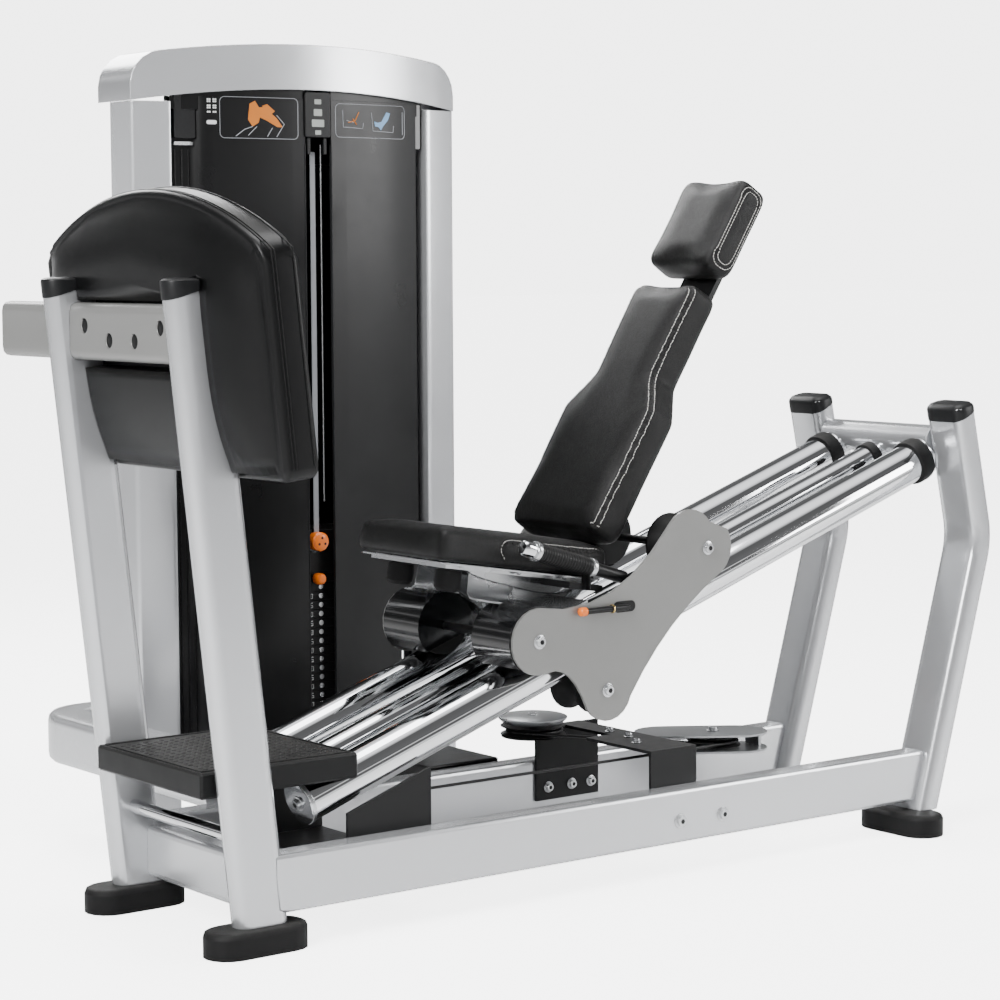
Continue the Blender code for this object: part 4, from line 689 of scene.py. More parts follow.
def swellPad(name, facts, seams):
    # copy of the frame's solid, shrunk a little, then blown up as stuffed leather and creased along its seams
    piece = bpy.data.objects.new(name, nodes[facts["node"]].data.copy())
    bpy.context.collection.objects.link(piece)
    even = piece.modifiers.new("even", "REMESH")
    even.mode = "VOXEL"
    even.voxel_size = facts["voxel"]
    bakeModifiers(piece)
    bm = smoothMesh(piece)
    for _ in range(3):
        bmesh.ops.smooth_vert(bm, verts=bm.verts, factor=0.5, use_axis_x=True, use_axis_y=True, use_axis_z=True)
    bm.normal_update()
    for v in bm.verts:
        v.co -= v.normal * facts["inset"] * 0.6
    bm.to_mesh(piece.data)
    bm.free()
    origin, up = facts["flat"]
    rest = [v.co.copy() for v in piece.data.vertices]
    held = piece.vertex_groups.new(name="held")
    held.add([i for i, p in enumerate(rest) if (p - origin).dot(up) < 0.010], 1.0, "REPLACE")
    cloth = piece.modifiers.new("swell", "CLOTH")
    cloth.settings.use_pressure = True
    cloth.settings.uniform_pressure_force = facts["pressure"]
    cloth.settings.effector_weights.gravity = 0
    cloth.settings.vertex_group_mass = "held"
    cloth.settings.quality = 5
    cloth.point_cache.frame_start, cloth.point_cache.frame_end = 1, 20
    scene = bpy.context.scene
    for step in range(1, 21):
        scene.frame_set(step)
    bakeModifiers(piece)
    scene.frame_set(1)
    piece.vertex_groups.clear()
    evenOut(piece, rest, facts)
    finer = piece.modifiers.new("finer", "SUBSURF")
    finer.levels = finer.render_levels = 1
    bakeModifiers(piece)
    dipAlong(piece, seams)
    piece.data.materials.clear()
    piece.data.materials.append(finish("leatherBlack"))
    piece.data.shade_smooth()
    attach(piece, "carriage")
    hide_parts(facts["node"])
    return piece


def surfaceTree(piece):
    bm = smoothMesh(piece)
    tree = BVHTree.FromBMesh(bm)
    bm.free()
    return tree


def dipAlong(piece, seams):
    # press the skin in along every seam and gather it with small puckers
    tree = surfaceTree(piece)
    grid = kdtree.KDTree(sum(len(s) for s in seams))
    index = 0
    for seam in seams:
        for point in seam:
            spot = tree.find_nearest(point)[0]
            grid.insert(spot, index)
            index += 1
    grid.balance()
    bm = smoothMesh(piece)
    bm.normal_update()
    for v in bm.verts:
        distance = grid.find(v.co)[2]
        dip = seamDip["depth"] * math.exp(-(distance / seamDip["width"]) ** 2)
        pucker = noise.noise(v.co * 95.0) * 0.0005 * math.exp(-(distance / 0.014) ** 2)
        broad = noise.noise(v.co * 14.0) * 0.0006
        v.co -= v.normal * (dip + pucker + broad)
    bm.to_mesh(piece.data)
    bm.free()


stitchBook = {"pitch": 0.0062, "length": 0.0044, "radius": 0.00062, "lift": 0.00035, "beside": 0.0048}


def stitchRow(tree, path, facts=stitchBook):
    # short threads laid end to end on the skin along a path
    spots = dense(path, 0.002, closed=False)
    lengths = [0.0]
    for a, b in zip(spots, spots[1:]):
        lengths.append(lengths[-1] + (b - a).length)

    def along(distance):
        for i in range(1, len(lengths)):
            if lengths[i] >= distance:
                share = (distance - lengths[i - 1]) / max(1e-9, lengths[i] - lengths[i - 1])
                return spots[i - 1].lerp(spots[i], share)
        return spots[-1]

    threads = []
    for k in range(int(lengths[-1] / facts["pitch"])):
        start = k * facts["pitch"]
        points = []
        for share, lift in ((0.0, -0.6), (0.25, 0.7), (0.75, 0.7), (1.0, -0.6)):
            spot, normal = tree.find_nearest(along(start + share * facts["length"]))[:2]
            points.append(spot + normal * (facts["lift"] * lift))
        if (points[0] - points[-1]).length > facts["length"] * 0.4:
            threads.append(tube(points, facts["radius"], 5))
    return threads


def seamCord(tree, path, radius=0.0009):
    # dark line of the seam itself, half sunk
    points = []
    for p in dense(path, 0.006, closed=False):
        spot, normal = tree.find_nearest(p)[:2]
        points.append(spot - normal * radius * 0.35)
    return tube(points, radius, 6)


def sidePath(points, place):
    return [place(*p) for p in points]


def smoothCurve(points, steps=8):
    points = [Vector(p) for p in points]
    ends = [2 * points[0] - points[1]] + points + [2 * points[-1] - points[-2]]
    result = []
    for i in range(1, len(ends) - 2):
        a, b, c, d = ends[i - 1:i + 3]
        for k in range(steps):
            t = k / steps
            result.append(0.5 * (2 * b + (c - a) * t + (2 * a - 5 * b + 4 * c - d) * t * t
                                 + (3 * b - a - 3 * c + d) * t ** 3))
    result.append(points[-1])
    return result


def backSeamPath(sign, inward, out):
    f = backFacts
    wide, slim = f["wide"] - inward, f["slim"] - inward
    low, high = f["shoulder"]
    points = [(0.016, wide - 0.012, out), (0.035, wide, out), (low - 0.03, wide, out), (low + 0.012, wide - 0.008, out),
              (high - 0.012, slim + 0.006, out), (high + 0.03, slim, out), (f["length"] - 0.04, slim, out),
              (f["length"] - 0.012, slim - 0.012, out)]
    return smoothCurve([onBack(up, sign * y, o) for up, y, o in points], 8)


def seatSeamPath(sign, inward, up):
    half = seatFacts["halfWidth"] - inward
    points = [(0.150, half, 0.018), (0.142, half, 0.030), (0.146, half, 0.044), (0.166, half, up), (0.200, half, up),
              (0.300, half, up), (0.372, half, up)]
    return smoothCurve([onSeat(a, sign * y, u) for a, y, u in points], 8)


def ovalPath(sign, grow):
    # outline of the headrest's side panel
    half = backFacts["headHalf"]
    middle = (backFacts["headStart"] + backFacts["headLength"] / 2, backFacts["thick"] / 2 + 0.003)
    outline = roundedBox(backFacts["headLength"] - 0.034 + 2 * grow, 0.046 + 2 * grow, 0.021 + grow, 8)
    spots = [onBack(middle[0] + a, sign * half, middle[1] + b) for a, b in outline]
    return spots + spots[:1]


def buildCushions():
    thick = backFacts["thick"]
    padSeams = {
        "backCushion": [backSeamPath(s, 0.004, thick - 0.005) for s in (-1, 1)],
        "seatCushion": [seatSeamPath(s, 0.001, 0.052) for s in (-1, 1)],
        "headrestCushion": [ovalPath(s, 0.0) for s in (-1, 1)],
    }
    beside = stitchBook["beside"]
    for name, seams in padSeams.items():
        piece = swellPad(name, padBook[name], seams)
        tree = surfaceTree(piece)
        threads, cords = [], []
        for sign, seam in zip((-1, 1), seams):
            cords.append(seamCord(tree, seam))
            if name == "backCushion":
                rows = [backSeamPath(sign, 0.004 + beside, thick + 0.002),
                        backSeamPath(sign, -0.002, thick - 0.005 - beside)]
            elif name == "seatCushion":
                rows = [seatSeamPath(sign, 0.006, 0.0585)]
            else:
                rows = [ovalPath(sign, -beside * 0.8), ovalPath(sign, beside * 0.8)]
            for row in rows:
                threads += stitchRow(tree, row)
        addPiece(name + "Stitches", merge(threads), "threadPale", "carriage")
        addPiece(name + "Seams", merge(cords), "leatherBlack", "carriage")
        print(name, "swollen and sewn")


buildCushions()


postFacts = {"depth": 0.102, "width": 0.051, "footX": 0.0, "topX": -0.1184, "footZ": 0.045, "topZ": 1.135}
capFacts = {"skirt": 0.021, "wave": 0.014, "proud": 0.0016, "dome": 0.005}


def postAxis(z):
    share = (z - postFacts["footZ"]) / (postFacts["topZ"] - postFacts["footZ"])
    return postFacts["footX"] + (postFacts["topX"] - postFacts["footX"]) * share


def buildPostCaps():
    # moulded caps with a waved lower edge on the four posts
    c = capFacts
    for side, sign in (("near", -1), ("far", 1)):
        rings = []
        lean = (postFacts["topX"] - postFacts["footX"]) / (postFacts["topZ"] - postFacts["footZ"])
        for z, grow, waved in ((-c["skirt"], -0.0012, 1), (-c["skirt"], c["proud"], 1), (-0.003, c["proud"], 0),
                               (0.001, c["proud"] * 0.2, 0), (c["dome"] * 0.8, -0.006, 0), (c["dome"], -0.016, 0)):
            ring = []
            for u, v in obroundPoints(postFacts["depth"] + 2 * grow, postFacts["width"] + 2 * grow, 12):
                wave = c["wave"] * math.sin(2.4 * u / postFacts["depth"] + 0.4) * waved
                height = z + wave
                x = postFacts["topX"] + lean * height + u
                ring.append(at(x, sign * 0.205 + v, postFacts["topZ"] + height))
            rings.append(ring)
        addPiece(side + "FrontPostCap", skin(rings), "capGrey", "frame")
        top, low = Vector((1.6764, 0, 0.862)), Vector((1.735, 0, 0.590))
        axis = (top - low).normalized()
        out = Vector((axis.z, 0, -axis.x))
        rings = []
        for z, grow, waved in ((-c["skirt"], -0.0012, 1), (-c["skirt"], c["proud"], 1), (-0.003, c["proud"], 0),
                               (0.001, c["proud"] * 0.2, 0), (c["dome"] * 1.4, -0.006, 0), (c["dome"] * 1.8, -0.016, 0)):
            ring = []
            for u, v in roundedBox(0.055 + 2 * grow, 0.100 + 2 * grow, 0.022 + grow, 6):
                height = z + c["wave"] * 0.8 * math.sin(26 * u + 0.3) * waved
                spot = top + axis * height + out * u
                ring.append(at(spot.x, sign * 0.205 + v, spot.z))
            rings.append(ring)
        addPiece(side + "RearPostCap", skin(rings), "capGrey", "frame")


buildPostCaps()


def buildBolts():
    axles = [(0.492, 0.080), (0.925, 0.083), (0.610, -0.0715)]
    boltRow("nearPlateBolts", [onSlide(s, -0.2048, n) for s, n in axles], (0, -1, 0), "carriage", 0.0095)
    boltRow("farPlateBolts", [onSlide(s, 0.2048, n) for s, n in axles], (0, 1, 0), "carriage", 0.0095)
    rail = 0.205 + 0.0255
    boltRow("nearRailBolts", [at(x, -rail, 0.105) for x in (0.924, 1.031)], (0, -1, 0), "frame", 0.0095)
    boltRow("farRailBolts", [at(x, rail, 0.105) for x in (0.924, 1.031)], (0, 1, 0), "frame", 0.0095)
    inner = 0.205 - 0.0255 - 0.006
    boltRow("bracketBolts", [at(x, 0.1733, 0.108) for x in (0.925, 0.985, 1.035)], (0, -1, 0), "frame", 0.008)
    boltRow("nearGussetBolts", [at(0.335, -0.1733, 0.125)], (0, 1, 0), "frame", 0.008)
    boltRow("farGussetBolts", [at(0.335, 0.1733, 0.125)], (0, -1, 0), "frame", 0.008)
    boltRow("tubeEndBolts", [onSlide(-0.0398, y, 0) for y in (-0.130, 0.130)], -slideWay, "frame", 0.010)
    boltRow("bracketTopBolts", [at(0.935, -0.09, 0.234), at(0.965, -0.03, 0.234), at(0.975, 0.04, 0.234)], (0, 0, 1),
            "frame", 0.007)
    print("bolts set", round(inner, 3))


buildBolts()


stepFacts = {"front": -0.085, "rear": 0.215, "half": 0.165, "top": 0.310, "pitch": 0.0165, "dot": 0.0048}


def buildStepTread():
    # raised dots in staggered rows, and a lip round the tread
    f = stepFacts
    dots = []
    rows = int((f["rear"] - f["front"] - 0.03) / f["pitch"])
    for i in range(rows + 1):
        x = f["front"] + 0.018 + i * f["pitch"]
        shift = (i % 2) * f["pitch"] / 2
        count = int((2 * f["half"] - 0.03) / f["pitch"])
        for k in range(count):
            y = -f["half"] + 0.018 + shift + k * f["pitch"]
            base = at(x, y, f["top"] - 0.0003)
            rings = [[base + Vector((r * a, r * b, h)) for a, b in circlePoints(1.0, 8)]
                     for r, h in ((f["dot"], 0), (f["dot"] * 0.85, 0.0011), (f["dot"] * 0.45, 0.0017))]
            dots.append(skin(rings))
    addPiece("stepTreadDots", merge(dots), "stepPlastic", "frame", smooth=60)
    outline = [(f["front"], -f["half"]), (f["rear"], -f["half"]), (f["rear"], f["half"]), (f["front"], f["half"])]
    lip = tube(dense([at(x, y, f["top"] + 0.0004) for x, y in outline], 0.02), 0.0022, 8, closed=True)
    addPiece("stepTreadLip", lip, "stepPlastic", "frame")
    rod = turnedBetween(at(-0.020, -0.1785, 0.190), at(-0.020, 0.1785, 0.190),
                        [(0.0125, 0), (0.0125, 0.357)], 32)
    addPiece("stepRod", rod, "mirrorChrome", "frame")


buildStepTread()


def buildTubeCollars():
    # black rubber stops round the guide tubes' upper ends, and bright rims at the lower ends
    for side, y in (("near", -0.130), ("far", 0.130)):
        stop = turnedBetween(onSlide(1.548, y, 0), onSlide(1.584, y, 0), [
            (0.0412, 0), (0.0455, 0.002), (0.0465, 0.006), (0.0465, 0.026), (0.0450, 0.033), (0.0412, 0.036)], 48)
        addPiece(side + "TubeStop", stop, "rubberBlack", "frame")
        rim = turnedBetween(onSlide(-0.0385, y, 0), onSlide(-0.0300, y, 0), [
            (0.0408, 0), (0.0418, 0.0010), (0.0418, 0.0075), (0.0408, 0.0085)], 48)
        addPiece(side + "TubeRim", rim, "zincSteel", "frame")
    collar = turnedBetween(onSlide(1.556, 0, 0), onSlide(1.581, 0, 0), [
        (0.0280, 0), (0.0315, 0.002), (0.0315, 0.022), (0.0280, 0.025)], 40)
    addPiece("centreTubeStop", collar, "rubberBlack", "frame")


buildTubeCollars()


def buildSeatPan():
    # thin bright lip under the seat, the flared sheet bracket below it, bumper and screws
    half, length = 0.1385, 0.400
    outline = roundedBox(length - 0.012, 2 * half - 0.004, 0.030, 8)
    rings = []
    for up, grow in ((-0.0035, -0.004), (-0.0035, 0.0), (-0.0008, 0.0), (-0.0008, -0.004)):
        rings.append([onSeat(length / 2 + a * (1 + 2 * grow / length), b * (1 + grow / half), up) for a, b in outline])
    rings.append(rings[0])
    lip = skin(rings, closed=False)
    bmesh.ops.remove_doubles(lip, verts=lip.verts, dist=1e-7)
    bmesh.ops.contextual_create(lip, geom=[])
    addPiece("seatLip", lip, "zincSteel", "carriage")
    profile = [(0.112, -0.062), (0.150, -0.064), (0.215, -0.066), (0.275, -0.065), (0.320, -0.058), (0.350, -0.042),
               (0.368, -0.022)]
    curve = smoothCurve([onSeat(a, 0, u) for a, u in profile], 6)
    for side, sign in (("near", -1), ("far", 1)):
        rings = []
        for k, spot in enumerate(curve):
            ahead = curve[min(k + 1, len(curve) - 1)] - curve[max(k - 1, 0)]
            lift = Vector((-ahead.normalized().z, 0, ahead.normalized().x)) * 0.0016
            share = k / (len(curve) - 1)
            outer = 0.114 - 0.012 * share
            inner = 0.080
            rise = onSeat(0, 0, 1) - onSeat(0, 0, 0)
            ring = []
            for w, up in ((inner, 0.046), (inner + 0.002, 0.012), (inner + 0.012, 0.002), (outer, 0.0)):
                ring.append(spot + Vector((0, sign * w, 0)) + rise * (up * (1 - share * 0.85)) + lift)
            for w, up in ((outer, 0.0), (inner + 0.012, 0.002), (inner + 0.002, 0.012), (inner, 0.046)):
                ring.append(spot + Vector((0, sign * w, 0)) + rise * (up * (1 - share * 0.85)) - lift)
            rings.append(ring)
        addPiece(side + "SeatSheet", skin(rings), "zincSteel", "carriage", smooth=50)
        screws = []
        for a in (0.060, 0.190, 0.300):
            screws.append(turnedBetween(onSeat(a, sign * 0.127, -0.0036), onSeat(a, sign * 0.127, -0.0100), [
                (0.0058, 0), (0.0058, 0.0022), (0.0040, 0.0042), (0.0012, 0.0046)], 20))
        addPiece(side + "SeatScrews", merge(screws), "zincSteel", "carriage")
        bumper = turnedBetween(onSeat(0.070, sign * 0.075, -0.0105), onSeat(0.070, sign * 0.075, -0.0600), [
            (0.018, 0), (0.024, 0.004), (0.0255, 0.022), (0.0245, 0.036), (0.018, 0.043)], 36)
        addPiece(side + "SeatBumper", bumper, "rubberBlack", "carriage")


buildSeatPan()


handleFacts = {"front": (0.590, 0.645), "rear": (0.835, 0.570), "y": 0.175, "grip": (0.034, 0.165)}


def buildHandles():
    f = handleFacts
    for side, sign in (("near", -1), ("far", 1)):
        a = at(f["front"][0], sign * f["y"], f["front"][1])
        b = at(f["rear"][0], sign * f["y"], f["rear"][1])
        way = (b - a).normalized()
        nose = turnedBetween(a - way * 0.001, b, [
            (0.006, 0), (0.0115, 0.0020), (0.0142, 0.0060), (0.0147, 0.011), (0.0147, 0.0285)], 40)
        addPiece(side + "HandleNose", nose, "mirrorChrome", "carriage")
        bands = []
        for start in (f["grip"][0] - 0.0065, f["grip"][1] - 0.0015):
            bands.append(turnedBetween(a + way * start, b, [
                (0.0160, 0), (0.0184, 0.0008), (0.0188, 0.0020), (0.0188, 0.0085), (0.0184, 0.0100),
                (0.0160, 0.0108)], 40))
        addPiece(side + "HandleBands", merge(bands), "zincSteel", "carriage")
        ribs = []
        for k in range(18):
            start = f["grip"][0] + 0.010 + k * 0.0064
            ribs.append(turnedBetween(a + way * start, b, [(0.0164, 0), (0.0173, 0.0010), (0.0173, 0.0040),
                                                          (0.0164, 0.0050)], 32))
        addPiece(side + "HandleRibs", merge(ribs), "rubberBlack", "carriage")


buildHandles()


def buildLeverTrim():
    # orange tip, thin gold ring and the dark oval the lever comes out of
    pivot = at(0.803, -0.214, 0.521)
    way = Vector((-1, 0, 0))
    tip = turnedBetween(pivot + way * 0.094, pivot + way * 0.120, [
        (0.0070, 0), (0.0082, 0.0010), (0.0084, 0.0060), (0.0078, 0.0130), (0.0050, 0.0160), (0.0015, 0.0168)], 32)
    addPiece("leverTip", tip, "orangePlastic", "lever")
    ring = turnedBetween(pivot + way * 0.0295, pivot + way * 0.034, [
        (0.0070, 0), (0.0083, 0.0006), (0.0083, 0.0030), (0.0070, 0.0036)], 32)
    addPiece("leverRing", ring, "goldRing", "lever")
    outline = obroundPoints(0.052, 0.021, 14)
    patch = slab(outline, at(0.808, -0.2053, 0.5215), (1, 0, 0), (0, 0, 1), 0.0, 0.0012)
    addPiece("leverSlot", patch, "blackSteel", "carriage")


buildLeverTrim()


def buildPulleyTrim():
    disc = turnedBetween(at(0.880, 0.165, 0.2425), at(0.880, 0.165, 0.3), [
        (0.020, 0), (0.060, 0.004), (0.0675, 0.0115), (0.0688, 0.0130), (0.0688, 0.0155), (0.0650, 0.0172),
        (0.012, 0.0190)], 64)
    addPiece("floorPulleyDisc", disc, "steelPlate", "front_floor_pulley_turn")
    knob = turnedBetween(at(0.880, 0.165, 0.2612), at(0.880, 0.165, 0.3), [
        (0.0105, 0), (0.0105, 0.0015), (0.0078, 0.0030), (0.0078, 0.0048), (0.0040, 0.0052)], 24)
    addPiece("floorPulleyNut", knob, "zincSteel", "front_floor_pulley_turn")
    lower = turnedBetween(at(0.880, 0.165, 0.222), at(0.880, 0.165, 0.1), [
        (0.050, 0), (0.0635, 0.0010), (0.0635, 0.0030), (0.044, 0.0052)], 48)
    addPiece("floorPulleyFlange", lower, "mouldedBlack", "front_floor_pulley_turn")
    nuts = []
    for x, y in ((1.150, -0.070),):
        nuts += hexBolt(at(x, y, 0.2315), (0, 0, 1), 0.009)
    addPiece("rearPulleyNut", merge(nuts), "zincSteel", "frame")


buildPulleyTrim()


towerFacts = {"middle": 0.698, "frontY": 0.665, "bow": 1.70, "inset": 0.012}


def onTower(x, z, lift):
    # a place on the bowed cover at layout X, lifted off it towards the front
    radius = towerFacts["bow"] - towerFacts["inset"] + lift
    y = towerFacts["frontY"] + towerFacts["bow"] - math.sqrt(radius ** 2 - (x - towerFacts["middle"]) ** 2)
    return at(x, y, z)


def bowedPatch(outline, lift, thick):
    # filled outline that follows the bowed cover, cut into upright strips
    low, high = min(x for x, z in outline), max(x for x, z in outline)
    count = max(1, math.ceil((high - low) / 0.012))
    flat = bmesh.new()
    face = flat.faces.new([flat.verts.new((x, 0, z)) for x, z in outline])
    face.normal_update()
    for k in range(1, count):
        x = low + (high - low) * k / count
        bmesh.ops.bisect_plane(flat, geom=flat.verts[:] + flat.edges[:] + flat.faces[:],
                               plane_co=(x, 0, 0), plane_no=(1, 0, 0))
    bmesh.ops.triangulate(flat, faces=[f for f in flat.faces if len(f.verts) > 4])
    grown = bmesh.ops.extrude_face_region(flat, geom=flat.faces[:])
    back = {v for v in grown["geom"] if isinstance(v, bmesh.types.BMVert)}
    for v in flat.verts:
        v.co = onTower(v.co.x, v.co.z, lift + (0 if v in back else -thick))
    return flat


def bowedLine(points, lift, radius, closed=False):
    flat = dense([(x, 0, z) for x, z in points], 0.008, closed)
    return tube([onTower(p.x, p.z, lift) for p in flat], radius, 6, closed)


def boxOutline(x0, x1, z0, z1, radius=0.002, steps=3):
    return [((x0 + x1) / 2 + a, (z0 + z1) / 2 + b) for a, b in roundedBox(x1 - x0, z1 - z0, radius, steps)]


headerFacts = {"leftFrame": (0.493, 0.673, 1.414, 1.497), "rightFrame": (0.767, 0.955, 1.421, 1.490),
               "counter": (0.688, 0.752, 1.419, 1.512), "leftBlock": (0.393, 0.447, 1.412, 1.506),
               "rightBlock": (0.966, 1.004, 1.400, 1.496)}


def buildHeader():
    f = headerFacts
    lines = []
    for key in ("leftFrame", "rightFrame"):
        x0, x1, z0, z1 = f[key]
        lines.append(bowedLine(boxOutline(x0, x1, z0, z1, 0.010, 5), 0.0002, 0.0007, True))
    lines.append(bowedLine([(0.945 + 0.004, 1.478), (0.945 + 0.004, 1.430)], 0.0002, 0.0009))
    addPiece("headerOutlines", merge(lines), "printGrey", "frame")
    marks = []
    for i in range(7):
        for k in range(8):
            if (i * 5 + k * 3 + i * k) % 3:
                x, z = 0.461 + i * 0.0042, 1.464 + k * 0.0042
                marks.append(bowedPatch(boxOutline(x, x + 0.0034, z, z + 0.0034, 0.0004, 1), 0.0005, 0.0008))
    marks.append(bowedPatch(boxOutline(0.464, 0.486, 1.441, 1.449, 0.0035, 3), 0.0005, 0.0008))
    addPiece("headerGrid", merge(marks), "printWhite", "frame")
    # figure pushing with its legs: a torso, a thigh and a shank as soft wedges
    wedges = [[(0.560, 1.484), (0.572, 1.490), (0.586, 1.470), (0.580, 1.446), (0.566, 1.438), (0.556, 1.452)],
              [(0.572, 1.476), (0.592, 1.478), (0.622, 1.456), (0.636, 1.438), (0.624, 1.438), (0.596, 1.452),
               (0.580, 1.458)],
              [(0.588, 1.480), (0.600, 1.484), (0.618, 1.470), (0.610, 1.464)]]
    addPiece("headerFigure", merge([bowedPatch(w, 0.0006, 0.0009) for w in wedges]), "printAmber", "frame")
    strokes = [[(0.622, 1.462), (0.640, 1.444), (0.622, 1.418)], [(0.612, 1.436), (0.600, 1.418)],
               [(0.566, 1.438), (0.548, 1.432), (0.528, 1.418)], [(0.576, 1.438), (0.556, 1.420)]]
    addPiece("headerStrokes", merge([bowedLine(s, 0.0004, 0.0009) for s in strokes]), "printGrey", "frame")
    # two small pictures on the right: a seat with a short limb, in pale lines and in blue
    seats = [[(0.785, 1.478), (0.787, 1.442), (0.838, 1.440), (0.840, 1.452)], [(0.796, 1.456), (0.815, 1.452)]]
    limbs = [[(0.800, 1.452), (0.818, 1.456), (0.828, 1.474)], [(0.812, 1.460), (0.822, 1.448)]]
    seats += [[(0.862, 1.474), (0.866, 1.436), (0.922, 1.434), (0.924, 1.448)]]
    addPiece("headerSeatLines", merge([bowedLine(s, 0.0004, 0.0008) for s in seats]), "printGrey", "frame")
    addPiece("headerLimb", merge([bowedLine(s, 0.0006, 0.0010) for s in limbs]), "printAmber", "frame")
    blue = [[(0.874, 1.452), (0.890, 1.456), (0.904, 1.476), (0.914, 1.474), (0.908, 1.460), (0.894, 1.446),
             (0.888, 1.438), (0.882, 1.444)], [(0.870, 1.456), (0.872, 1.446), (0.884, 1.444), (0.884, 1.452)]]
    addPiece("headerBlueFigure", merge([bowedPatch(w, 0.0006, 0.0009) for w in blue]), "printBlue", "frame")
    x0, x1, z0, z1 = f["counter"]
    y = 0.6735
    body = slab([((a), (b)) for a, b in roundedBox(x1 - x0, z1 - z0, 0.005, 5)],
                at((x0 + x1) / 2, y, (z0 + z1) / 2), (1, 0, 0), (0, 0, 1), -0.020, 0.0)
    addPiece("counterBox", body, "shroudPlastic", "frame", bevel=0.0015)
    windows = []
    for zc, w, h in ((1.492, 0.016, 0.010), (1.470, 0.020, 0.014), (1.448, 0.030, 0.015), (1.429, 0.014, 0.009)):
        windows.append(slab(roundedBox(w, h, 0.0015, 3), at((x0 + x1) / 2, y, zc), (1, 0, 0), (0, 0, 1),
                            -0.0004, 0.0007))
    addPiece("counterWindows", merge(windows), "windowGrey", "frame")
    legs = [slab(roundedBox(0.008, 0.034, 0.002, 3), at(x, y + 0.004, 1.401), (1, 0, 0), (0, 0, 1), -0.006, 0.0)
            for x in (0.700, 0.740)]
    addPiece("counterLegs", merge(legs), "blackSteel", "frame", bevel=0.001)


buildHeader()


def shorten(piece):
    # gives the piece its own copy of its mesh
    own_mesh(piece)


def buildTowerTrim():
    f = headerFacts
    for name, key, deep in (("leftBlock", "leftBlock", 0.020), ("rightBlock", "rightBlock", 0.020)):
        x0, x1, z0, z1 = f[key]
        spot = onTower((x0 + x1) / 2, (z0 + z1) / 2, 0)
        spot.y += deep - 0.0005
        block = slab(roundedBox(x1 - x0 - 0.003, z1 - z0, 0.004, 4), spot, (1, 0, 0), (0, 0, 1), 0.0, 0.0165)
        addPiece(name + "Trim", block, "hoodGloss", "frame", bevel=0.0015)
    clip = slab(roundedBox(0.046, 0.008, 0.003, 4), onTower(0.420, 1.402, -0.0185), (1, 0, 0), (0, 0, 1), 0.0, 0.009)
    addPiece("recessClip", clip, "zincSteel", "frame", bevel=0.001)
    slats = []
    for x in (0.405, 0.420, 0.435):
        spot = onTower(x, 0.740, -0.0202)
        slats.append(slab(roundedBox(0.003, 1.300, 0.0012, 2), spot, (1, 0, 0), (0, 0, 1), 0.0, 0.0022))
    addPiece("recessSlats", merge(slats), "shroudPlastic", "frame")
    # bright edges of the slot and the pale strip that hangs in it
    strip = slab(roundedBox(0.0125, 0.800, 0.002, 3), at(0.7215, 0.700, 0.990), (1, 0, 0), (0, 0, 1), 0.0, 0.0012)
    shorten(addPiece("slotStrip", strip, "printGrey", "frame"))
    rod = turnedBetween(at(0.700, 0.697, 0.660), at(0.700, 0.697, 1.405), [(0.0035, 0), (0.0035, 0.745)], 24)
    shorten(addPiece("slotRod", rod, "mirrorChrome", "frame"))
    thin = turnedBetween(at(0.742, 0.699, 0.660), at(0.742, 0.699, 1.405), [(0.0016, 0), (0.0016, 0.745)], 12)
    addPiece("slotWire", thin, "zincSteel", "frame")
    for side, x in (("left", 0.6895), ("right", 0.7555)):
        z0, z1 = 0.075, 1.405
        edge = slab(roundedBox(0.0016, z1 - z0, 0.0006, 2), onTower(x, (z0 + z1) / 2, 0.0006), (1, 0, 0), (0, 0, 1),
                    -0.006, 0.0006)
        addPiece(side + "SlotEdge", edge, "recessPlastic", "frame")


buildTowerTrim()


def buildCapShadow():
    # dark strips that close the arched gap between the covers' tops and the cap: painted shadow under the cap
    for name, x0, x1 in (("leftCapShadowStrip", 0.388, 0.6895), ("rightCapShadowStrip", 0.7555, 1.008)):
        spots = [x0 + (x1 - x0) * k / 16 for k in range(17)]
        edge = [(x, 1.5155 - 0.030 * ((x - 0.698) / 0.398) ** 2) for x in spots]
        outline = [(x0, 1.470), (x1, 1.470)] + edge[::-1]
        # dark sheet standing for the cap's shadow, painted shade
        addPiece(name, bowedPatch(outline, -0.0015, 0.003), "shroudPlastic", "frame")


buildCapShadow()


def buildBarPlugs():
    # dark plugs in the cross bar's holes
    plugs = []
    for share, lift in ((-0.72, 0.010), (-0.24, -0.014), (0.24, -0.014), (0.72, 0.010)):
        lean = -0.1184 * (1.046 - 0.045) / 1.090
        spot = at(lean - 0.023 + 0.0045, share * 0.1795, 1.046 + lift)
        plugs.append(turnedBetween(spot, spot - Vector((1, 0, 0)), [(0.0132, 0), (0.0132, 0.0012), (0.0100, 0.0022)], 24))
    addPiece("crossBarPlugs", merge(plugs), "mouldedBlack", "frame")


buildBarPlugs()


# digits as thin strokes on a 2 by 4 grid
digitStrokes = {
    "0": [[(0, 0), (2, 0), (2, 4), (0, 4), (0, 0)]], "1": [[(0.4, 3.2), (1.2, 4), (1.2, 0)]],
    "2": [[(0, 4), (2, 4), (2, 2), (0, 2), (0, 0), (2, 0)]], "3": [[(0, 4), (2, 4), (2, 0), (0, 0)], [(0.4, 2), (2, 2)]],
    "4": [[(0, 4), (0, 2), (2, 2)], [(2, 4), (2, 0)]], "5": [[(2, 4), (0, 4), (0, 2), (2, 2), (2, 0), (0, 0)]],
    "6": [[(2, 4), (0, 4), (0, 0), (2, 0), (2, 2), (0, 2)]], "7": [[(0, 4), (2, 4), (0.8, 0)]],
    "8": [[(0, 0), (2, 0), (2, 4), (0, 4), (0, 0)], [(0, 2), (2, 2)]],
    "9": [[(2, 2), (0, 2), (0, 4), (2, 4), (2, 0), (0, 0)]]}
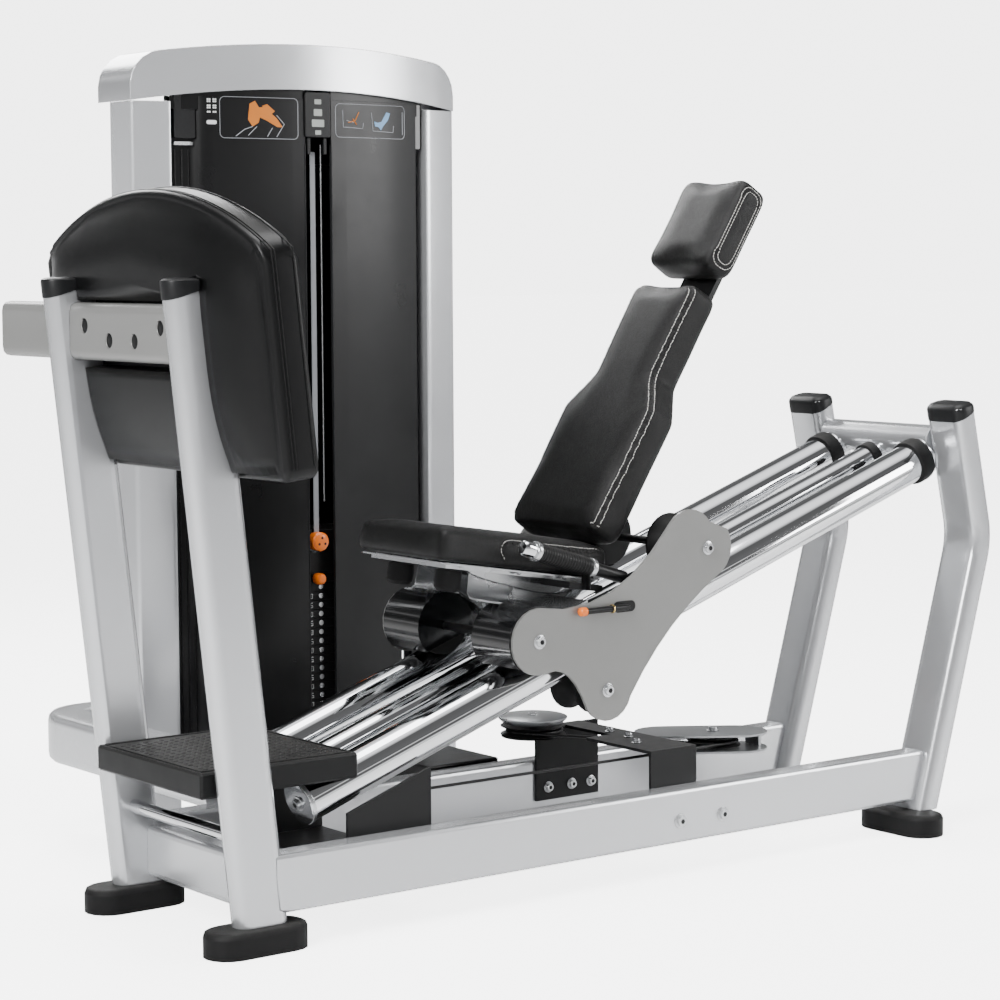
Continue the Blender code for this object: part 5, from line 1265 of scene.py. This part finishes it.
stackFacts = {"x": 0.720, "frontY": 0.706, "lowZ": 0.1045, "pitch": 0.0192, "count": 20, "firstWeight": 85,
              "step": 15}


def numberLabel(number, x, z, y, height=0.0095):
    unit = height / 4
    strokes = []
    for i, digit in enumerate(str(number)):
        for path in digitStrokes[digit]:
            points = [at(x + (a + i * 2.9) * unit, y, z + (b - 2) * unit) for a, b in path]
            strokes.append(tube(dense(points, 0.02, closed=False), 0.00085, 5))
    return strokes


def buildStackLabels():
    f = stackFacts
    strokes, holes, weight = [], [], f["firstWeight"]
    for k in range(f["count"]):
        z = f["lowZ"] + f["pitch"] * (f["count"] - 0.5 - k)
        strokes += numberLabel(weight, f["x"] - 0.0245, z, f["frontY"] - 0.0004)
        weight += f["step"]
        spot = at(f["x"] + 0.016, f["frontY"] + 0.0004, z)
        holes.append(turnedBetween(spot, spot - Vector((0, 0.001, 0)), [(0.0056, 0), (0.0056, 0.0008)], 20))
    addPiece("weightNumbers", merge(strokes), "printWhite", "frame")
    addPiece("pinHoleRims", merge(holes), "zincSteel", "frame")
    pickedZ = f["lowZ"] + f["pitch"] * (f["count"] + 0.5)
    addPiece("pickedNumber", merge(numberLabel(70, f["x"] - 0.032, pickedZ, f["frontY"] - 0.0004)), "printWhite",
             "weight_stack")
    face = at(0.720, f["frontY"] - 0.0285, 0.577)
    front = Vector((0, -1, 0))
    cover = turnedBetween(face, face + front, [(0.0170, 0), (0.0170, 0.0012), (0.0150, 0.0026), (0.0080, 0.0030)], 40)
    addPiece("dialFace", cover, "orangePlastic", "dial")
    dots = []
    for k in range(3):
        a = math.radians(90 + 120 * k)
        spot = face + front * 0.0024 + Vector((math.cos(a), 0, math.sin(a))) * 0.0085
        dots.append(turnedBetween(spot, spot + front, [(0.0026, 0), (0.0026, 0.0010)], 16))
    addPiece("dialHoles", merge(dots), "blackSteel", "dial")
    collar = turnedBetween(at(0.720, 0.7058, 0.577), at(0.720, 0.6, 0.577), [
        (0.0250, 0), (0.0250, 0.0016), (0.0225, 0.0024)], 40)
    addPiece("dialCollar", collar, "hoodGloss", "weight_stack")
    pinFace = at(0.720, f["frontY"] - 0.0302, 0.4981)
    button = turnedBetween(pinFace, pinFace + front, [(0.0090, 0), (0.0085, 0.0014), (0.0040, 0.0022)], 32)
    addPiece("pinFace", button, "orangePlastic", "pin")


buildStackLabels()


def buildStackCable():
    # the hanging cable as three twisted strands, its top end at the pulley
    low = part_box("stack_cable")[0][2]
    anchor = at(0.720, 0.766, 1.4235)
    strands = []
    for k in range(3):
        points = []
        for i in range(240):
            z = low + (anchor.z - low) * i / 239
            a = 2 * math.pi * (k / 3 + i / 9)
            points.append(Vector((anchor.x + 0.0013 * math.cos(a), anchor.y + 0.0013 * math.sin(a), z)))
        strands.append(tube(points, 0.0015, 6))
    piece = addPiece("hangingCable", merge(strands), "cableBlack", "frame")
    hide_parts("stack_cable")
    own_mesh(piece)


buildStackCable()


def buildPlatformTrim():
    # double bead along the foot platform's back rim, and a fine bead by its sole side
    lean = math.atan2(0.1184, 1.090)
    sideZ, topZ, bottomZ, half = 1.183, 1.287, 0.806, 0.370

    def onPlatform(y, up, back):
        # up the platform from the cross bar's height, back from its rear plane towards the sitter
        x = -0.063 + back * math.cos(lean) - up * math.sin(lean)
        return at(x, y, 1.046 + back * math.sin(lean) + up * math.cos(lean))

    lows, sides, tops = ((z - 1.046) / math.cos(lean) for z in (bottomZ, sideZ, topZ))
    rise = tops - sides
    radius = (half ** 2 + rise ** 2) / (2 * rise)
    reach = math.asin(half / radius)
    outline = [(radius * math.sin(reach * (1 - 2 * k / 40)), tops - radius + radius * math.cos(reach * (1 - 2 * k / 40)))
               for k in range(41)]
    outline = [(half, lows + 0.022)] + [(y, z - 0.0) for y, z in outline] + [(-half, lows + 0.022)]
    beads = []
    for back in (0.0125, 0.0185, 0.0535):
        points = [onPlatform(y * 1.0008, up + 0.0003, back) for y, up in outline]
        beads.append(tube(dense(points, 0.02, closed=False), 0.0013, 8))
    addPiece("platformBeads", merge(beads), "mouldedBlack", "frame")


buildPlatformTrim()


def buildFloor():
    size = 60.0
    bm = bmesh.new()
    corners = [bm.verts.new((x, y, -0.0006)) for x, y in ((-size, -size), (size, -size), (size, size), (-size, size))]
    bm.faces.new(corners)
    mesh = bpy.data.meshes.new("studioFloor")
    bm.to_mesh(mesh)
    bm.free()
    floor = bpy.data.objects.new("studioFloor", mesh)
    bpy.context.collection.objects.link(floor)
    paint = bpy.data.materials.new("floorPale")
    paint.use_nodes = True
    shader = paint.node_tree.nodes["Principled BSDF"]
    shader.inputs["Base Color"].default_value = (0.93, 0.93, 0.93, 1)
    shader.inputs["Roughness"].default_value = 0.55
    # the camera sees the floor as bright as the backdrop, the machine is lit by its paint alone
    rays = paint.node_tree.nodes.new("ShaderNodeLightPath")
    paint.node_tree.links.new(rays.outputs["Is Camera Ray"], shader.inputs["Emission Color"])
    shader.inputs["Emission Strength"].default_value = 4.2
    mesh.materials.append(paint)


buildFloor()
print("model finished")
